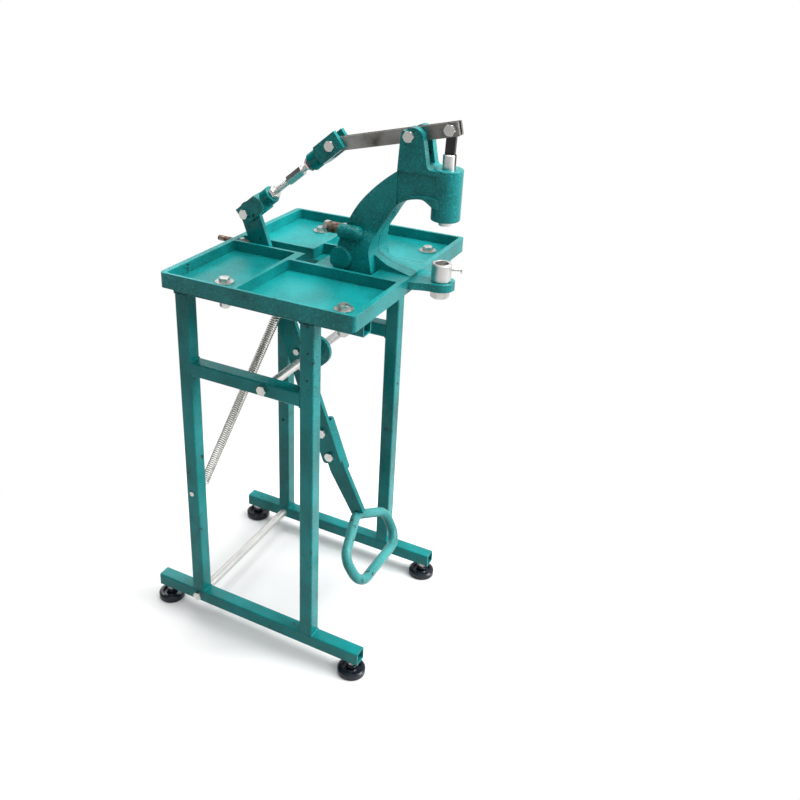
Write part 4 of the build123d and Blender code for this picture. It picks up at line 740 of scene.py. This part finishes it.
# %% Threads of the pull link
ROD_RADIUS = 6.0 * MM
ROD_PITCH = 1.75 * MM
upper_low, upper_high = [Vector(corner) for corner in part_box("upper_clevis")]
lower_low, lower_high = [Vector(corner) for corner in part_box("lower_clevis")]
sleeve_low, sleeve_high = [Vector(corner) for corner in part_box("adjuster_sleeve")]
link_run = ((upper_low + upper_high) - (lower_low + lower_high)).normalized()
sleeve_middle = (sleeve_low + sleeve_high) / 2


# A spot on the link's axis, at a distance from the sleeve's middle
def on_link(distance):
    return sleeve_middle + link_run * distance


lower_thread = thread_along(on_link(-60 * MM), on_link(-20 * MM), ROD_RADIUS, ROD_PITCH)
upper_thread = thread_along(on_link(20 * MM), on_link(36.5 * MM), ROD_RADIUS, ROD_PITCH)
link_thread = joined([lower_thread, upper_thread])
finished(link_thread, "link_threads", "pull_link", finish["bright_steel"], 30)

# %% [markdown]
# ## A dab of red paint
# The photograph shows red paint on the upper lock nut. It is made as a mask in the nut's
# own coordinates: everything past a plane across the rod, broken up by noise.

# %% Marked lock nut
RED_PAINT = (0.34, 0.012, 0.02)
PAINT_BEGINS, PAINT_FULL = 40.0 * MM, 41.0 * MM
marked_nuts = metal("marked_nuts", **ZINC)
tree = marked_nuts.node_tree
shader = tree.nodes["Principled BSDF"]
plain = shader.inputs["Base Color"].links[0].from_socket
where = add_node(tree, "ShaderNodeTexCoord")
from_sleeve = add_node(tree, "ShaderNodeVectorMath", operation="SUBTRACT")
from_sleeve.inputs[1].default_value = sleeve_middle
along = add_node(tree, "ShaderNodeVectorMath", operation="DOT_PRODUCT")
along.inputs[1].default_value = link_run
tree.links.new(where.outputs["Object"], from_sleeve.inputs[0])
tree.links.new(from_sleeve.outputs[0], along.inputs[0])
past_plane = band(tree, along.outputs["Value"], PAINT_BEGINS, PAINT_FULL)
broken = band(tree, place_noise(tree, 240, 4), 0.34, 0.42)
painted = combine(tree, "MULTIPLY", past_plane, broken)
tree.links.new(blend_colours(tree, painted, plain, RED_PAINT), shader.inputs["Base Color"])
tree.links.new(combine(tree, "SUBTRACT", 1.0, painted), shader.inputs["Metallic"])
print("marked:", marked_nuts.name)

# %% [markdown]
# ## Lock nuts
# The lock nuts are wider than the sleeve between them. Each is a six-sided prism whose
# sharp end edges are broken, which a bevel limited to those edges gives. The surface turns
# by ninety degrees at an end edge and by only sixty from one side to the next, so a limit
# of seventy picks out the end edges.

# %% Wide lock nuts
NUT_FLATS = 24.0 * MM
NUT_THICK = 10.0 * MM
LOWER_NUT, UPPER_NUT = -65.0 * MM, 41.5 * MM
nut_turn = link_run.to_track_quat("Z", "Y").to_euler()
lock_nuts = []
for distance in (LOWER_NUT, UPPER_NUT):
    nothing_selected()
    bpy.ops.mesh.primitive_cylinder_add(vertices=6, radius=NUT_FLATS / math.sqrt(3),
                                        depth=NUT_THICK, location=on_link(distance),
                                        rotation=nut_turn)
    nut = bpy.context.object
    turned = nut.modifiers.new("turned", "BEVEL")
    turned.width = 1.0 * MM
    turned.segments = 3
    turned.angle_limit = math.radians(70)
    apply_all(nut)
    lock_nuts.append(nut)
finished(joined(lock_nuts), "wide_lock_nuts", "pull_link", marked_nuts, 30)
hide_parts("lock_nuts")

# %% [markdown]
# ## Threads of the feet and the rear stop
# Each foot stands on a screwed stud, whose thread shows between the pad and the nut under
# the tube. The rear stop is a rusty screwed rod through the table's rear rim, threaded
# over almost all of its length. Both are made with the same thread maker.

# %% Threads of the feet
STUD_LOW, STUD_HIGH = 19.5 * MM, 33 * MM
studs_low, studs_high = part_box("foot_studs")
foot_threads = []
for across in (studs_low[0] + ROD_RADIUS, studs_high[0] - ROD_RADIUS):
    for along in (studs_low[1] + ROD_RADIUS, studs_high[1] - ROD_RADIUS):
        foot_threads.append(thread_along((across, along, STUD_LOW), (across, along, STUD_HIGH),
                                         ROD_RADIUS, ROD_PITCH))
finished(joined(foot_threads), "foot_threads", "stand", finish["zinc"], 30)

# %% Thread of the rear stop
STOP_PITCH = 1.5 * MM
BLANK_END = 2 * MM
stop_low, stop_high = [Vector(corner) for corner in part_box("rear_stop_rod")]
stop_middle = (stop_low + stop_high) / 2
stop_radius = (stop_high.x - stop_low.x) / 2
stop_thread = thread_along((stop_middle.x, stop_low.y + BLANK_END, stop_middle.z),
                           (stop_middle.x, stop_high.y - BLANK_END, stop_middle.z),
                           stop_radius, STOP_PITCH)
finished(stop_thread, "stop_thread", "stand", finish["rusty_steel"], 30)

# %% [markdown]
# ## Done
# Nothing is left selected at the end.

# %% Finish
bpy.ops.object.select_all(action="DESELECT")
